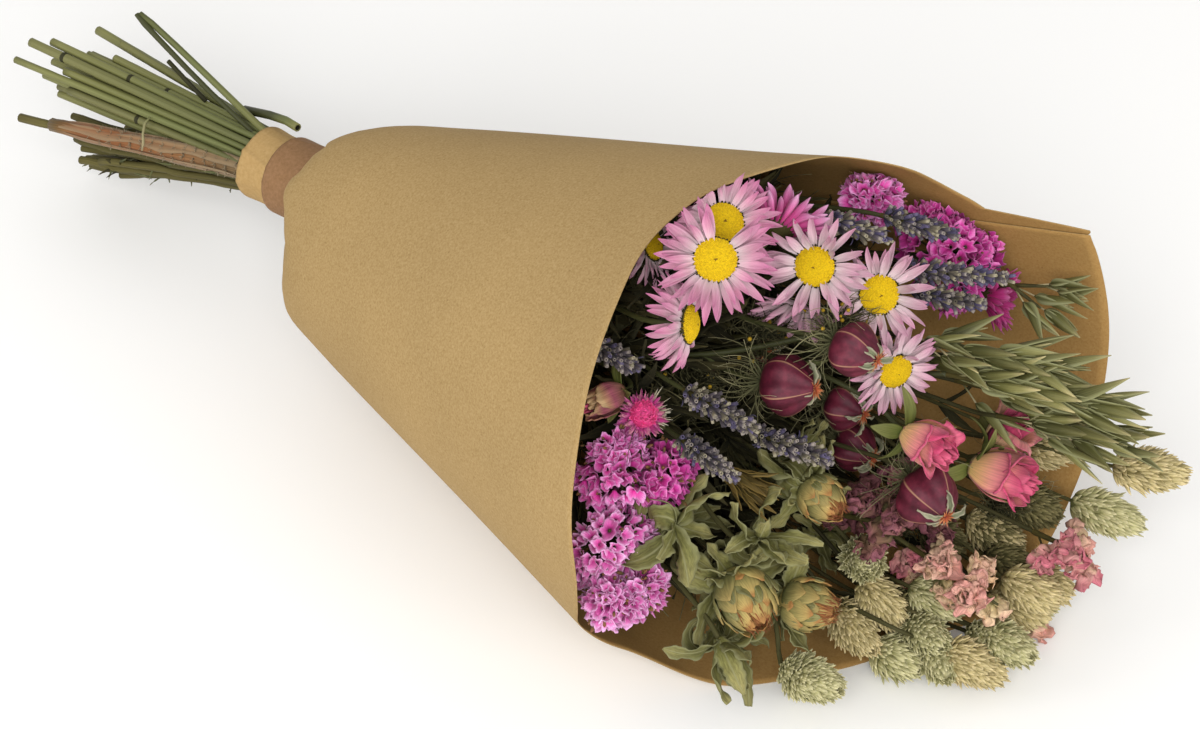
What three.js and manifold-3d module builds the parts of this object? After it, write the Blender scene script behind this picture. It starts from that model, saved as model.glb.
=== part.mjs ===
// A dried-flower bouquet rolled in kraft paper and tied at the neck, lying on its side.
// Millimetres, +Z up. Everything is built upright to the bouquet's own axis, which is +X:
// the tie is at the origin, the cut stems point to -X and the blooms to +X. The group at the
// end leans that axis up toward the blooms and sets the paper's flattened underside on z = 0.
import * as THREE from 'three';
import { ConvexGeometry } from 'three/addons/geometries/ConvexGeometry.js';
import { mergeVertices } from 'three/addons/utils/BufferGeometryUtils.js';
import Module from 'manifold-3d';

const wasm = await Module();
wasm.setup();

const degrees = Math.PI / 180;
const vec = (x, y, z) => new THREE.Vector3(x, y, z);

// Driving dimensions
const lean = 7 * degrees;             // rise of the axis toward the blooms
const axisHeight = 58;                // height of the axis under the tie
const coneAngle = 15.31 * degrees;    // half angle of the rolled paper
const mouthRadius = 102;              // radius of the paper at mouthAt along the axis
const mouthAt = 260;
const paperThickness = 0.8;
const layerGap = 0.5;                 // between the two layers where the sheet overlaps
const clearance = 0.3;                // between neighbouring pieces
const seamAngle = 72;                 // where the sheet starts, degrees from the top
const seamOverlap = 24;               // how far it laps over itself, degrees
const neckCentre = [6, 5];            // the tie sits off the cone's axis: across, up
const sleeveRadius = 13.6;
const sleeveStart = -17;
const sleeveEnd = 26;
const bandStart = -3;
const bandEnd = 13;
const neckStemRadius = 1.1;           // stems squeezed in the tie
const coneStemRadius = 1.2;
const looseStemRadius = 1.4;          // stems beyond the tie
const stemSides = 3;
const bladeThickness = 0.9;           // at the midrib of a petal or leaf
const weld = 0.01;                    // corners nearer than this become one
const fineness = 0.14;               // facets that depart less than this are merged

// Edges of the sheet, as distance along the axis against the angle round it. Angles run from
// the top (0) over the far side (90), the underside (180) and the near side (270).
const mouthEdge = [
  [0, 209], [18, 222], [33, 225], [41, 237], [54, 241], [63, 250], [66.5, 284], [90, 285],
  [114, 285], [150, 280], [180, 258], [197, 239], [208, 225], [219, 210], [242, 206],
  [256, 217], [270, 224], [298, 219], [321, 212], [340, 206],
];
const shoulderEdge = [
  [0, 33], [33, 48], [90, 46], [180, 38], [243, 34], [290, 43], [305, 37], [320, 28], [341, 33],
];

// Each bloom: where its stem ends, the way it faces and its size, in the bouquet's own frame.
// Rows with the same node grow together.
const blooms = [
  { node: 'daisy_1', kind: 'daisy', base: [216, -4, 79], facing: [0.6, -0.3, 0.8], size: 19 },
  { node: 'daisy_2', kind: 'daisy', base: [228, -21, 82], facing: [0.6, -0.5, 0.6], size: 20 },
  { node: 'daisy_3', kind: 'daisy', base: [236, 19, 59], facing: [0.4, -0.8, 0.5], size: 19 },
  { node: 'daisy_4', kind: 'daisy', base: [247, 33, 44], facing: [0.7, -0.5, 0.4], size: 19 },
  { node: 'daisy_5', kind: 'daisy', base: [253, 30, 19], facing: [0.9, -0.4, 0.1], size: 17 },
  { node: 'daisy_6', kind: 'daisy', base: [220, -34, 62], facing: [0.9, 0.4, 0.1], size: 18 },
  { node: 'daisy_7', kind: 'daisy', base: [192, -17, 69], facing: [0.9, 0.3, 0.4], size: 14 },
  { node: 'daisy_8', kind: 'daisy', base: [221, 12, 70], facing: [-0.1, 0.9, 0.5], size: 18 },
  { node: 'daisy_9', kind: 'daisy', base: [227, 23, 42], facing: [0.2, -0.7, -0.7], size: 17 },
  { node: 'daisy_10', kind: 'daisy', base: [253, 82, 11], facing: [0.9, 0.5, 0], size: 12 },
  { node: 'everlasting', kind: 'everlasting', base: [217, -49, 33], facing: [0.6, -0.3, 0.7], size: 13 },
  { node: 'statice_1', kind: 'statice', base: [222, 59, 51], facing: [0.7, 0.3, 0.7], size: 15 },
  { node: 'statice_2', kind: 'statice', base: [237, 77, 27], facing: [0.9, 0.2, 0.4], size: 20 },
  { node: 'statice_3', kind: 'statice', base: [204, -50, 12], facing: [0.9, -0.3, -0.2], size: 20 },
  { node: 'statice_4', kind: 'statice', base: [208, -63, -13], facing: [0.9, -0.3, -0.3], size: 19 },
  { node: 'lavender_1', kind: 'lavender', base: [236, 34, 63], facing: [0.9, 0.4, 0], size: 24 },
  { node: 'lavender_2', kind: 'lavender', base: [238, 50, 60], facing: [1, 0.3, -0.1], size: 26 },
  { node: 'lavender_3', kind: 'lavender', base: [248, 48, 44], facing: [0.9, 0.3, 0.1], size: 36 },
  { node: 'lavender_4', kind: 'lavender', base: [247, 51, 33], facing: [1, 0.3, 0], size: 26 },
  { node: 'lavender_5', kind: 'lavender', base: [221, -32, 34], facing: [1, 0, -0.1], size: 30 },
  { node: 'lavender_6', kind: 'lavender', base: [234, -16, 12], facing: [1, 0.1, 0], size: 30 },
  { node: 'lavender_7', kind: 'lavender', base: [222, -38, 19], facing: [1, -0.1, -0.1], size: 26 },
  { node: 'lavender_8', kind: 'lavender', base: [193, -45, 50], facing: [1, 0.1, -0.2], size: 20 },
  { node: 'nigella_1', kind: 'nigella', base: [229, -4, 23], facing: [1, 0.3, 0.1], size: 24 },
  { node: 'nigella_2', kind: 'nigella', base: [262, 13, 44], facing: [0.4, -0.8, 0.3], size: 22 },
  { node: 'nigella_3', kind: 'nigella', base: [229, 23, -4], facing: [1, 0.1, 0], size: 20 },
  { node: 'nigella_4', kind: 'nigella', base: [230, 30, -24], facing: [1, 0, -0.1], size: 19 },
  { node: 'nigella_5', kind: 'nigella', base: [267, 23, -18], facing: [0.9, -0.3, -0.2], size: 25 },
  { node: 'rose_1', kind: 'rose', base: [268, 25, 2], facing: [1, -0.1, 0], size: 23 },
  { node: 'rose_2', kind: 'rose', base: [275, 51, -28], facing: [1, 0.2, 0], size: 26 },
  { node: 'rose_3', kind: 'rose', base: [264, 64, -35], facing: [0.5, 0.6, 0.6], size: 20 },
  { node: 'rose_4', kind: 'rose', base: [202, -40, 30], facing: [-0.1, -1, 0.2], size: 19 },
  { node: 'carthamus_1', kind: 'carthamus', base: [235, -34, -36], facing: [0.9, -0.4, -0.2], size: 26 },
  { node: 'carthamus_2', kind: 'carthamus', base: [244, -20, -52], facing: [1, 0.2, 0.1], size: 23 },
  { node: 'carthamus_3', kind: 'carthamus', base: [241, -1, -17], facing: [1, -0.2, -0.1], size: 20 },
  { node: 'larkspur_1', kind: 'larkspur', base: [258, 28, -56], facing: [1, 0, -0.2], size: 36 },
  { node: 'larkspur_2', kind: 'larkspur', base: [291, 57, -54], facing: [1, 0.1, -0.1], size: 20 },
  { node: 'larkspur_3', kind: 'larkspur', base: [246, 12, -37], facing: [1, 0.2, 0.1], size: 20 },
  { node: 'phalaris_1', kind: 'phalaris', base: [243, 16, -51], facing: [0.9, -0.3, -0.2], size: 26 },
  { node: 'phalaris_2', kind: 'phalaris', base: [246, 3, -71], facing: [0.9, -0.2, -0.2], size: 28 },
  { node: 'phalaris_3', kind: 'phalaris', base: [259, 17, -78], facing: [1, -0.1, -0.1], size: 29 },
  { node: 'phalaris_4', kind: 'phalaris', base: [290, 20, -70], facing: [1, 0.1, 0], size: 28 },
  { node: 'phalaris_5', kind: 'phalaris', base: [246, -25, -78], facing: [1, 0.2, 0], size: 29 },
  { node: 'phalaris_5', kind: 'phalaris', base: [264, -21, -78], facing: [1, 0.3, 0], size: 24 },
  { node: 'phalaris_6', kind: 'phalaris', base: [296, 5, -70], facing: [1, 0.1, -0.2], size: 24 },
  { node: 'phalaris_7', kind: 'phalaris', base: [286, 47, -77], facing: [1, 0.2, -0.1], size: 25 },
  { node: 'phalaris_7', kind: 'phalaris', base: [291, 48, -66], facing: [1, 0.2, -0.2], size: 24 },
  { node: 'phalaris_8', kind: 'phalaris', base: [301, 86, -40], facing: [0.9, 0.3, 0.1], size: 28 },
  { node: 'phalaris_9', kind: 'phalaris', base: [289, 81, -58], facing: [1, 0.2, -0.1], size: 28 },
  { node: 'phalaris_10', kind: 'phalaris', base: [260, 61, -66], facing: [1, 0, -0.1], size: 24 },
  { node: 'oats_1', kind: 'oats', base: [263, 40, 22], facing: [1, 0.3, 0], size: 62 },
  { node: 'oats_2', kind: 'oats', base: [271, 39, 11], facing: [1, 0.3, 0], size: 74 },
  { node: 'oats_3', kind: 'oats', base: [283, 61, -14], facing: [1, 0.3, 0], size: 60 },
  { node: 'oats_4', kind: 'oats', base: [266, 91, 21], facing: [0.9, 0.4, 0.1], size: 26 },
  { node: 'moss', kind: 'moss', base: [240, 14, 37], facing: [0.8, 0.4, 0.5], size: 16 },
  { node: 'leafy_1', kind: 'leafy', base: [225, -50, -7], facing: [0.9, 0.4, 0], size: 30 },
  { node: 'leafy_2', kind: 'leafy', base: [244, -29, -20], facing: [0.3, 0.2, 0.9], size: 26 },
  { node: 'leafy_3', kind: 'leafy', base: [240, -50, -48], facing: [0.8, -0.5, -0.4], size: 28 },
  { node: 'bracts', kind: 'bracts', base: [232, -28, -3], facing: [1, 0, -0.1], size: 24 },
];

// Colour and roughness of what each kind shows most
const finishes = {
  daisy: ['#eab3cf', 0.7], everlasting: ['#e0429a', 0.8], statice: ['#c765c4', 0.75],
  lavender: ['#6f6b8c', 0.85], nigella: ['#6d2440', 0.6], rose: ['#cf6c8c', 0.75],
  carthamus: ['#a39a63', 0.8], larkspur: ['#dca99b', 0.85], phalaris: ['#a9ab7e', 0.9],
  oats: ['#8d9a68', 0.7], moss: ['#6f7350', 0.9], leafy: ['#7d8458', 0.8],
  bracts: ['#8b7a45', 0.8], paper: ['#bf9c66', 0.9], sleeve: ['#cfa877', 0.9], band: ['#a9805f', 0.8],
};

// A repeatable stream of numbers from 0 to 1
function numbers(seed) {
  let state = seed;
  return () => {
    state = (state * 1664525 + 1013904223) % 4294967296;
    return state / 4294967296;
  };
}

// A straight-line value read from a list of [angle, value] that closes on itself
function edgeAt(edge, angle) {
  const turn = ((angle % 360) + 360) % 360;
  for (let i = 0; i < edge.length; i += 1) {
    const [startAngle, startValue] = edge[i];
    const [nextAngle, endValue] = edge[(i + 1) % edge.length];
    const endAngle = i + 1 < edge.length ? nextAngle : 360 + nextAngle;
    if (turn >= startAngle && turn <= endAngle) {
      return startValue + (endValue - startValue) * (turn - startAngle) / (endAngle - startAngle);
    }
  }
  return edge[0][1];
}

const coneRadius = (along) => mouthRadius - (mouthAt - along) * Math.tan(coneAngle);

// The table's height in the bouquet's own frame
const tableAt = (along) => -(axisHeight + along * Math.sin(lean)) / Math.cos(lean);

// Solids ---------------------------------------------------------------------------------

function solidFrom(points, faces) {
  let volume = 0;
  for (const [a, b, c] of faces) {
    volume += points[a].dot(vec(0, 0, 0).crossVectors(points[b], points[c]));
  }
  const outward = volume >= 0 ? faces : faces.map(([a, b, c]) => [a, c, b]);
  return new wasm.Manifold(new wasm.Mesh({
    numProp: 3,
    vertProperties: Float32Array.from(points.flatMap((p) => [p.x, p.y, p.z])),
    triVerts: Uint32Array.from(outward.flat()),
  }));
}

function solidOf(geometry) {
  geometry.deleteAttribute('normal');
  const { attributes, index } = mergeVertices(geometry);
  return new wasm.Manifold(new wasm.Mesh({
    numProp: 3,
    vertProperties: attributes.position.array,
    triVerts: index.array,
  }));
}

function geometryOf(solid) {
  const mesh = solid.getMesh();
  const geometry = new THREE.BufferGeometry();
  geometry.setAttribute('position', new THREE.BufferAttribute(mesh.vertProperties, 3));
  geometry.setIndex(new THREE.BufferAttribute(mesh.triVerts, 1));
  geometry.computeVertexNormals();
  return geometry;
}

// Closed skin over a row of rings, each span split across its shorter diagonal; a ring of one
// point is a tip
function loft(rings) {
  const points = rings.flat();
  const faces = [];
  let start = 0;
  for (let k = 0; k + 1 < rings.length; k += 1) {
    const near = rings[k].length;
    const far = rings[k + 1].length;
    const sides = Math.max(near, far);
    for (let i = 0; i < sides; i += 1) {
      const j = (i + 1) % sides;
      const a = start + (near === 1 ? 0 : i);
      const b = start + (near === 1 ? 0 : j);
      const c = start + near + (far === 1 ? 0 : j);
      const d = start + near + (far === 1 ? 0 : i);
      if (near === 1) faces.push([a, c, d]);
      else if (far === 1) faces.push([a, b, c]);
      else if (points[a].distanceTo(points[c]) <= points[b].distanceTo(points[d])) {
        faces.push([a, b, c], [a, c, d]);
      } else {
        faces.push([a, b, d], [b, c, d]);
      }
    }
    start += near;
  }
  const last = points.length - rings.at(-1).length;
  for (let i = 1; i + 1 < rings[0].length; i += 1) faces.push([0, i + 1, i]);
  for (let i = 1; i + 1 < rings.at(-1).length; i += 1) faces.push([last, last + i, last + i + 1]);
  return solidFrom(points, faces);
}

// A petal, leaf, bract or horn: three-sided in section, flat below, with a raised midrib
// above, running through points to a sharp tip
function blade(points, widths, up, thickness = bladeThickness) {
  const rings = points.map((point, i) => {
    if (i === points.length - 1) return [point];
    const along = points[i + 1].clone().sub(points[Math.max(i - 1, 0)]).normalize();
    const side = vec(0, 0, 0).crossVectors(along, up).normalize().multiplyScalar(widths[i] / 2);
    const rib = vec(0, 0, 0).crossVectors(side, along).normalize().multiplyScalar(thickness);
    return [point.clone().sub(side), point.clone().add(side), point.clone().add(rib)];
  });
  return loft(rings);
}

// A point round the head's axis, at a radius and a height along it
const around = (turn, radius, height) => vec(radius * Math.cos(turn), radius * Math.sin(turn), height);

// A blade that grows out of the head's axis: it leaves at an angle from the axis (open) and
// bends by curl more degrees on its way to the tip
function radialBlade({ turn, root, height, open, curl, length, width, tipWidth = 0, twist = 0 }) {
  const steps = tipWidth > 0 ? [0, 0.45, 0.85, 1] : [0, 0.55, 1];
  const stalk = Math.min(width * 0.45, 1.1);
  const widths = tipWidth > 0 ? [stalk, width, tipWidth, 0] : [stalk, width, 0];
  const points = [];
  let reach = root;
  let rise = height;
  let last = 0;
  for (const step of steps) {
    const angle = (open + curl * (step + last) / 2) * degrees;
    reach += length * (step - last) * Math.sin(angle);
    rise += length * (step - last) * Math.cos(angle);
    points.push(around(turn + twist * step, reach, rise));
    last = step;
  }
  const up = around(turn, -Math.cos(open * degrees), Math.sin(open * degrees));
  return blade(points, widths, up);
}

// Heads. Each kind is a function of its size that lists rings from the stem's end outward, in
// its own frame with +Z the way it faces, and the blades that grow out of it. A ring is a
// height and a radius; a row of petals is a ring drawn out to tips at every second point.

const ring = (radius, height) => ({ radius, height });
const petals = (radius, height, open, length, shape = {}) => ({ radius, height, open, length, ...shape });

// Petals that touch a neighbour close up, and then shorten, until they stand clear
const longPetal = 6;
const petalChoices = [[0, 1], [-16, 1], [-32, 0.95], [0, 0.6], [-24, 0.6], [0, 0.3], [0, 0.02]];

function petalTip(turn, row, [close, share]) {
  const angle = (row.open + close) * degrees;
  const reach = row.length * share;
  return around(turn, row.radius + reach * Math.sin(angle), row.height + reach * Math.cos(angle));
}

// The space of one petal: its tip, the notches on either side of it and the rows it joins
function petalProbe({ row, before, after, turn, step, tip, thickness }) {
  const lift = vec(0, 0, thickness);
  const feet = [before, row, after].flatMap(({ radius, height }) => [
    around(turn - step, radius, height), around(turn + step, radius, height)]);
  const points = [tip, tip.clone().add(lift), feet[2].clone().add(lift), feet[3].clone().add(lift), ...feet];
  return solidOf(new ConvexGeometry(points));
}

// Closed skin over the rows of a head. isClear tells whether a trial petal stands clear.
function headBody(rows, sides, random, isClear) {
  const rings = [[vec(0, 0, rows[0].height - 1)]];
  rows.forEach((row, index) => {
    if (!row.length) {
      const points = [];
      for (let i = 0; i < sides; i += 1) {
        points.push(around(2 * Math.PI * i / sides, row.radius, row.height));
      }
      rings.push(points);
      return;
    }
    const below = [];
    const above = [];
    const thickness = row.thickness ?? bladeThickness;
    for (let i = 0; i < sides; i += 1) {
      const turn = 2 * Math.PI * i / sides;
      const seat = around(turn, row.radius, row.height);
      let point = seat;
      if ((i + (row.shift ?? 0)) % 2 === 0) {
        const swing = turn + (random() - 0.5) * (row.swing ?? 0.1);
        const spread = 1 - random() * 0.14;
        const trial = (choice) => petalTip(swing, row, [choice[0], choice[1] * spread]);
        const [before, after] = [rows[index - 1] ?? row, rows[index + 1] ?? row];
        const step = Math.PI * 2 / sides;
        const fits = (choice) => (
          isClear(petalProbe({ row, before, after, turn, step, tip: trial(choice), thickness })));
        const choices = row.length > longPetal ? petalChoices : petalChoices.slice(0, 1);
        point = trial(choices.find(fits) ?? choices.at(-1));
      }
      below.push(point);
      above.push(point.clone().add(vec(0, 0, point === seat ? thickness : thickness * 0.7)));
    }
    rings.push(below, above);
  });
  rings.push([vec(0, 0, rows.at(-1).height + (rows.at(-1).cap ?? 0.6))]);
  return loft(rings);
}

// A row of separate blades; each comes as a list of choices, and the first clear one grows
function bladeRow({ count, offset = 0, random, scatter = 5, ...shape }) {
  const row = [];
  for (let i = 0; i < count; i += 1) {
    const turn = 2 * Math.PI * (i + offset) / count + (random() - 0.5) * 0.12;
    const open = shape.open + (random() - 0.5) * scatter * 2;
    const length = shape.length * (0.92 + random() * 0.14);
    row.push([0, -14, -28, -42, 14].map((close) => () => (
      radialBlade({ ...shape, turn, open: open + close, length }))));
  }
  return row;
}

// Two rows of pointed petals under a domed disc
function daisy(size) {
  const disc = size * 0.34;
  return { sides: 16, rows: [
    ring(2, 0.4),
    petals(disc * 0.95, 4.2, 88, size - disc),
    petals(disc * 0.95, 5.6, 66, size - disc, { shift: 1 }),
    { ...ring(disc * 0.7, 8.2), cap: 0.8 },
  ] };
}

function everlasting(size) {
  return { sides: 16, rows: [
    ring(2, 0.4),
    petals(4.4, 2.6, 92, size - 4.4),
    petals(4.8, 4.2, 58, size * 0.5, { shift: 1 }),
    { ...ring(3.6, 7), cap: 1 },
  ] };
}

// Papery funnels that spread from one point into a rounded cluster
function statice(size, random) {
  const pieces = [];
  const count = 9;
  for (let i = 0; i < count; i += 1) {
    const turn = i * 2.4;
    const tilt = Math.acos(1 - 0.95 * (i + 0.5) / count);
    const length = size * (0.92 + random() * 0.16);
    const funnel = (swing, close) => () => {
      const out = around(turn + swing, Math.sin(tilt - close), Math.cos(tilt - close));
      const side = around(turn + swing + Math.PI / 2, 1, 0);
      const over = vec(0, 0, 0).crossVectors(out, side);
      const rim = [];
      for (let k = 0; k < 5; k += 1) {
        const spin = 0.4 * Math.PI * k;
        rim.push(out.clone().multiplyScalar(length + (k % 2) * 1.6)
          .addScaledVector(side, size * 0.23 * Math.cos(spin))
          .addScaledVector(over, size * 0.23 * Math.sin(spin)));
      }
      return loft([[out.clone().multiplyScalar(1)], rim, [out.clone().multiplyScalar(length * 0.76)]]);
    };
    pieces.push([funnel(0, 0), funnel(0.2, 0), funnel(-0.2, 0), funnel(0, 0.24), funnel(0, 0.48)]);
  }
  return { sides: 6, rows: [ring(1.8, 0.2), ring(4.4, 3), ring(4, 6)], pieces };
}

// A spike of blunt calyxes in whorls
function lavender(size) {
  const rows = [ring(1.6, 0)];
  const whorls = 4;
  for (let k = 0; k < whorls; k += 1) {
    const share = k / (whorls - 1);
    const radius = 4.1 * Math.sin(Math.PI * (0.2 + 0.62 * share)) ** 0.6;
    rows.push(petals(radius * 0.72, size * (0.06 + 0.84 * share), 44, radius * 0.66,
      { shift: k % 2, thickness: size * 0.09, swing: 0 }));
  }
  return { sides: 8, rows };
}

// A swollen pod in five lobes under a star of horns, with a few thread bracts round its base
function nigella(size, random) {
  const radius = size * 0.43;
  const body = size * 0.7;
  const bracts = bladeRow({ random, count: 4, offset: 0.4, root: 0.4, height: 0.4, open: 88, curl: -50,
    length: size * 0.6, width: 1.4 });
  return { sides: 10, pieces: bracts, rows: [
    ring(1.8, 0),
    petals(radius * 0.72, body * 0.16, 90, radius * 0.1, { thickness: body * 0.3, swing: 0 }),
    petals(radius * 0.84, body * 0.72, 90, radius * 0.1, { thickness: body * 0.16, swing: 0 }),
    petals(1.6, body, 56, size * 0.36, { swing: 0.3 }),
    { ...ring(1, body + 1.2), cap: 0.5 },
  ] };
}

// A half-open rose: sepals, then rows of petals that curl out less and less toward the heart
function rose(size) {
  return { sides: 10, rows: [
    ring(1.8, 0),
    petals(1.9, 0.7, 62, size * 0.4),
    ring(size * 0.26, size * 0.2),
    petals(size * 0.3, size * 0.42, 42, size * 0.24, { shift: 1, thickness: 1.4 }),
    petals(size * 0.24, size * 0.56, 24, size * 0.26, { thickness: 1.4 }),
    petals(size * 0.14, size * 0.68, 8, size * 0.22, { shift: 1, thickness: 1.2 }),
    { ...ring(size * 0.06, size * 0.78), cap: 0.4 },
  ] };
}

// A globe of overlapping scales in a ruff of curling leafy bracts
function carthamus(size, random) {
  const radius = size * 0.34;
  const rows = [ring(2, 0)];
  [[0.76, 0.36, 46], [0.94, 0.96, 24], [0.66, 1.56, 0]].forEach(([share, height, open], k) => {
    rows.push(petals(radius * share, radius * height, open, radius * 0.5, { shift: k % 2, thickness: 1.5 }));
  });
  rows.push({ ...ring(radius * 0.2, radius * 2.1), cap: 1 });
  const pieces = bladeRow({ random, count: 5, offset: 0.3, root: 1, height: 0.4, open: 84, curl: 60,
    length: size * 0.8, width: size * 0.24, tipWidth: size * 0.13, scatter: 12 });
  return { sides: 10, rows, pieces };
}

// Crumpled florets round the end of an upright stem
function larkspur(size, random) {
  const pieces = [];
  const count = Math.round(size / 5);
  for (let i = 0; i < count; i += 1) {
    const height = size * (i + 0.7) / count;
    const floret = (turn, far) => () => {
      const out = around(turn, 0.9, 0.44);
      const side = around(turn + Math.PI / 2, 1, 0);
      const over = vec(0, 0, 0).crossVectors(out, side);
      const centre = vec(0, 0, height).addScaledVector(out, far);
      const rim = (lift) => [0, 1, 2, 3, 4, 5, 6, 7].map((k) => {
        const spin = Math.PI * k / 4;
        const reach = k % 2 ? 3 : 5.8 + random();
        return centre.clone().addScaledVector(out, lift + (k % 2 ? -1.6 : 1.4) + random())
          .addScaledVector(side, reach * Math.cos(spin)).addScaledVector(over, reach * Math.sin(spin));
      });
      return loft([[vec(0, 0, height)], rim(0), rim(1), [centre.clone().addScaledVector(out, -1.4)]]);
    };
    pieces.push([floret(i * 2.4, 6), floret(i * 2.4 + 0.5, 6), floret(i * 2.4 - 0.5, 6), floret(i * 2.4, 4)]);
  }
  return { sides: 5, rows: [ring(1.3, 0), ring(0.9, size)], pieces };
}

// A dense feathery grass head, its pointed scales in whorls
function phalaris(size) {
  const rows = [ring(1.8, 0)];
  const whorls = 4;
  for (let k = 0; k < whorls; k += 1) {
    const share = k / (whorls - 1);
    const radius = 7.6 * Math.sin(Math.PI * (0.2 + 0.62 * share)) ** 0.7;
    rows.push(petals(radius * 0.76, size * (0.06 + 0.78 * share), 40 - 16 * share, 4.4,
      { shift: k % 2, thickness: size * 0.1, swing: 0 }));
  }
  return { sides: 8, rows };
}

// A one-sided spray of spikelets, each a pointed husk
function oats(size, random) {
  const pieces = [];
  const count = Math.round(size / 9);
  for (let i = 0; i < count; i += 1) {
    const turn = i * 2.4 + random();
    const shape = { root: 0.2, height: size * 0.56 * i / count, length: 26, width: 4.6, tipWidth: 2.8 };
    pieces.push([[0, 30], [0.5, 40], [-0.5, 20], [0, 50], [0, 12]].map(([swing, open]) => () => (
      radialBlade({ ...shape, turn: turn + swing, open, curl: -open * 0.7 }))));
  }
  return { sides: 5, rows: [ring(1.2, 0), ring(0.8, size * 0.58)], pieces };
}

// Thread-fine leaves in a loose tuft
function moss(size, random) {
  const pieces = [0, 1].flatMap((row) => bladeRow({ random, count: 5, offset: row * 0.5, root: 0.4,
    height: row * size * 0.3, open: 66 - row * 18, curl: -30, length: size * 0.8, width: 1.2, scatter: 12 }));
  return { sides: 5, rows: [ring(1.3, 0), ring(1, size * 0.5)], pieces };
}

// Curling leaves round a stem's end
function leafy(size, random) {
  const pieces = [0, 1].flatMap((row) => bladeRow({ random, count: 3, offset: row * 0.5, root: 0.4,
    height: row * 2.6, open: 66 - row * 24, curl: 46, length: size * (0.86 - row * 0.2), width: size * 0.24,
    tipWidth: size * 0.15, scatter: 16 }));
  return { sides: 5, rows: [ring(1.5, 0), ring(1, 4)], pieces };
}

// Narrow dry bracts in a loose sheaf
function bracts(size, random) {
  const pieces = [0, 1].flatMap((row) => bladeRow({ random, count: 4, offset: row * 0.5, root: 0.4,
    height: row * 2.6, open: 44 - row * 24, curl: 8, length: size, width: 3.2, scatter: 10 }));
  return { sides: 5, rows: [ring(1.4, 0), ring(1.2, 5)], pieces };
}

const kinds = {
  daisy, everlasting, statice, lavender, nigella, rose, carthamus, larkspur, phalaris, oats,
  moss, leafy, bracts,
};

// Half width and length of the space each kind's core takes, for routing stems past it
const coreSpace = {
  daisy: [8, 9], everlasting: [7, 8], statice: [11, 20], lavender: [6, 1], nigella: [10.5, 0.8],
  rose: [9, 0.9], carthamus: [12, 0.9], larkspur: [6, 1], phalaris: [9.5, 1], oats: [4, 0.8],
  moss: [4, 0.5], leafy: [3, 0.2], bracts: [3, 0.3],
};

// Stems ----------------------------------------------------------------------------------

const neckEnds = [-20, 30];
const fanLength = 105;
const coneStations = [100, 170, 230];
const bendRoom = 14;                  // a stem leaves its last station this far before the head
const neckPitch = 2.6;                // between neighbouring stems in the tie
const conePitch = 2.95;               // and in the cone
const headRoom = 1.5;                 // between a stem and another stem's head
const tableRoom = 3.5;                // between a stem and the table, inside the paper
const paperRoom = 4;                  // between a stem and the cone
const routeRounds = 90;
const straightenRounds = 60;          // rounds in which a stem is also drawn straight
const straighten = 0.04;

const stemRadiusAt = (along) => {
  if (along < neckEnds[0]) return looseStemRadius;
  return along > neckEnds[1] ? coneStemRadius : neckStemRadius;
};

// Circle packing: where each stem passes through the tie, in the order in which the heads lie
function packNeck(aims) {
  const room = sleeveRadius - 0.4 - paperThickness - clearance - neckStemRadius;
  const spots = aims.map(([across, up]) => [across * room, up * room]);
  for (let round = 0; round < 900; round += 1) {
    for (let i = 0; i < spots.length; i += 1) {
      for (let j = 0; j < i; j += 1) {
        const across = spots[i][0] - spots[j][0];
        const up = spots[i][1] - spots[j][1];
        const apart = Math.hypot(across, up) || 1e-6;
        const push = (neckPitch - apart) / apart / 2;
        if (push > 0) {
          spots[i][0] += across * push;
          spots[i][1] += up * push;
          spots[j][0] -= across * push;
          spots[j][1] -= up * push;
        }
      }
    }
    for (const spot of spots) {
      const far = Math.hypot(spot[0], spot[1]);
      if (far > room) {
        spot[0] *= room / far;
        spot[1] *= room / far;
      }
    }
  }
  return spots;
}

// Beyond the tie the stems fan out to cut ends; the lowest on the far side droop to the table
function fanPoint([across, up], along, random) {
  const share = (neckEnds[0] - along) / fanLength;
  const spread = 1 + share * (1.5 + 0.09 * Math.max(0, up));
  const droop = up < 0 ? share * 2.6 * THREE.MathUtils.smoothstep(across, -2, 4) : 0;
  const y = neckCentre[0] * (1 - share) + across * spread + (random() - 0.5) * 3 * share;
  const z = neckCentre[1] - 8 * share + up * (spread + droop) + (random() - 0.5) * 3 * share;
  const lowestCorner = looseStemRadius * Math.sin(60 * degrees);
  return vec(along, y, Math.max(z, tableAt(along) + lowestCorner));
}

const bloomBase = (bloom) => vec(...bloom.base);
const bloomFacing = (bloom) => vec(...bloom.facing).normalize();

// The curved last stretch of a stem, from its last station up to the head
function finalBend(before, from, base, facing) {
  const reach = from.distanceTo(base);
  const leave = from.clone().sub(before).normalize().multiplyScalar(reach);
  const arrive = facing.clone().multiplyScalar(reach);
  return [1 / 3, 2 / 3].map((t) => {
    const keep = 2 * t ** 3 - 3 * t ** 2 + 1;
    return from.clone().multiplyScalar(keep)
      .addScaledVector(leave, t ** 3 - 2 * t ** 2 + t)
      .addScaledVector(base, 1 - keep)
      .addScaledVector(arrive, t ** 3 - t ** 2);
  });
}

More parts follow.
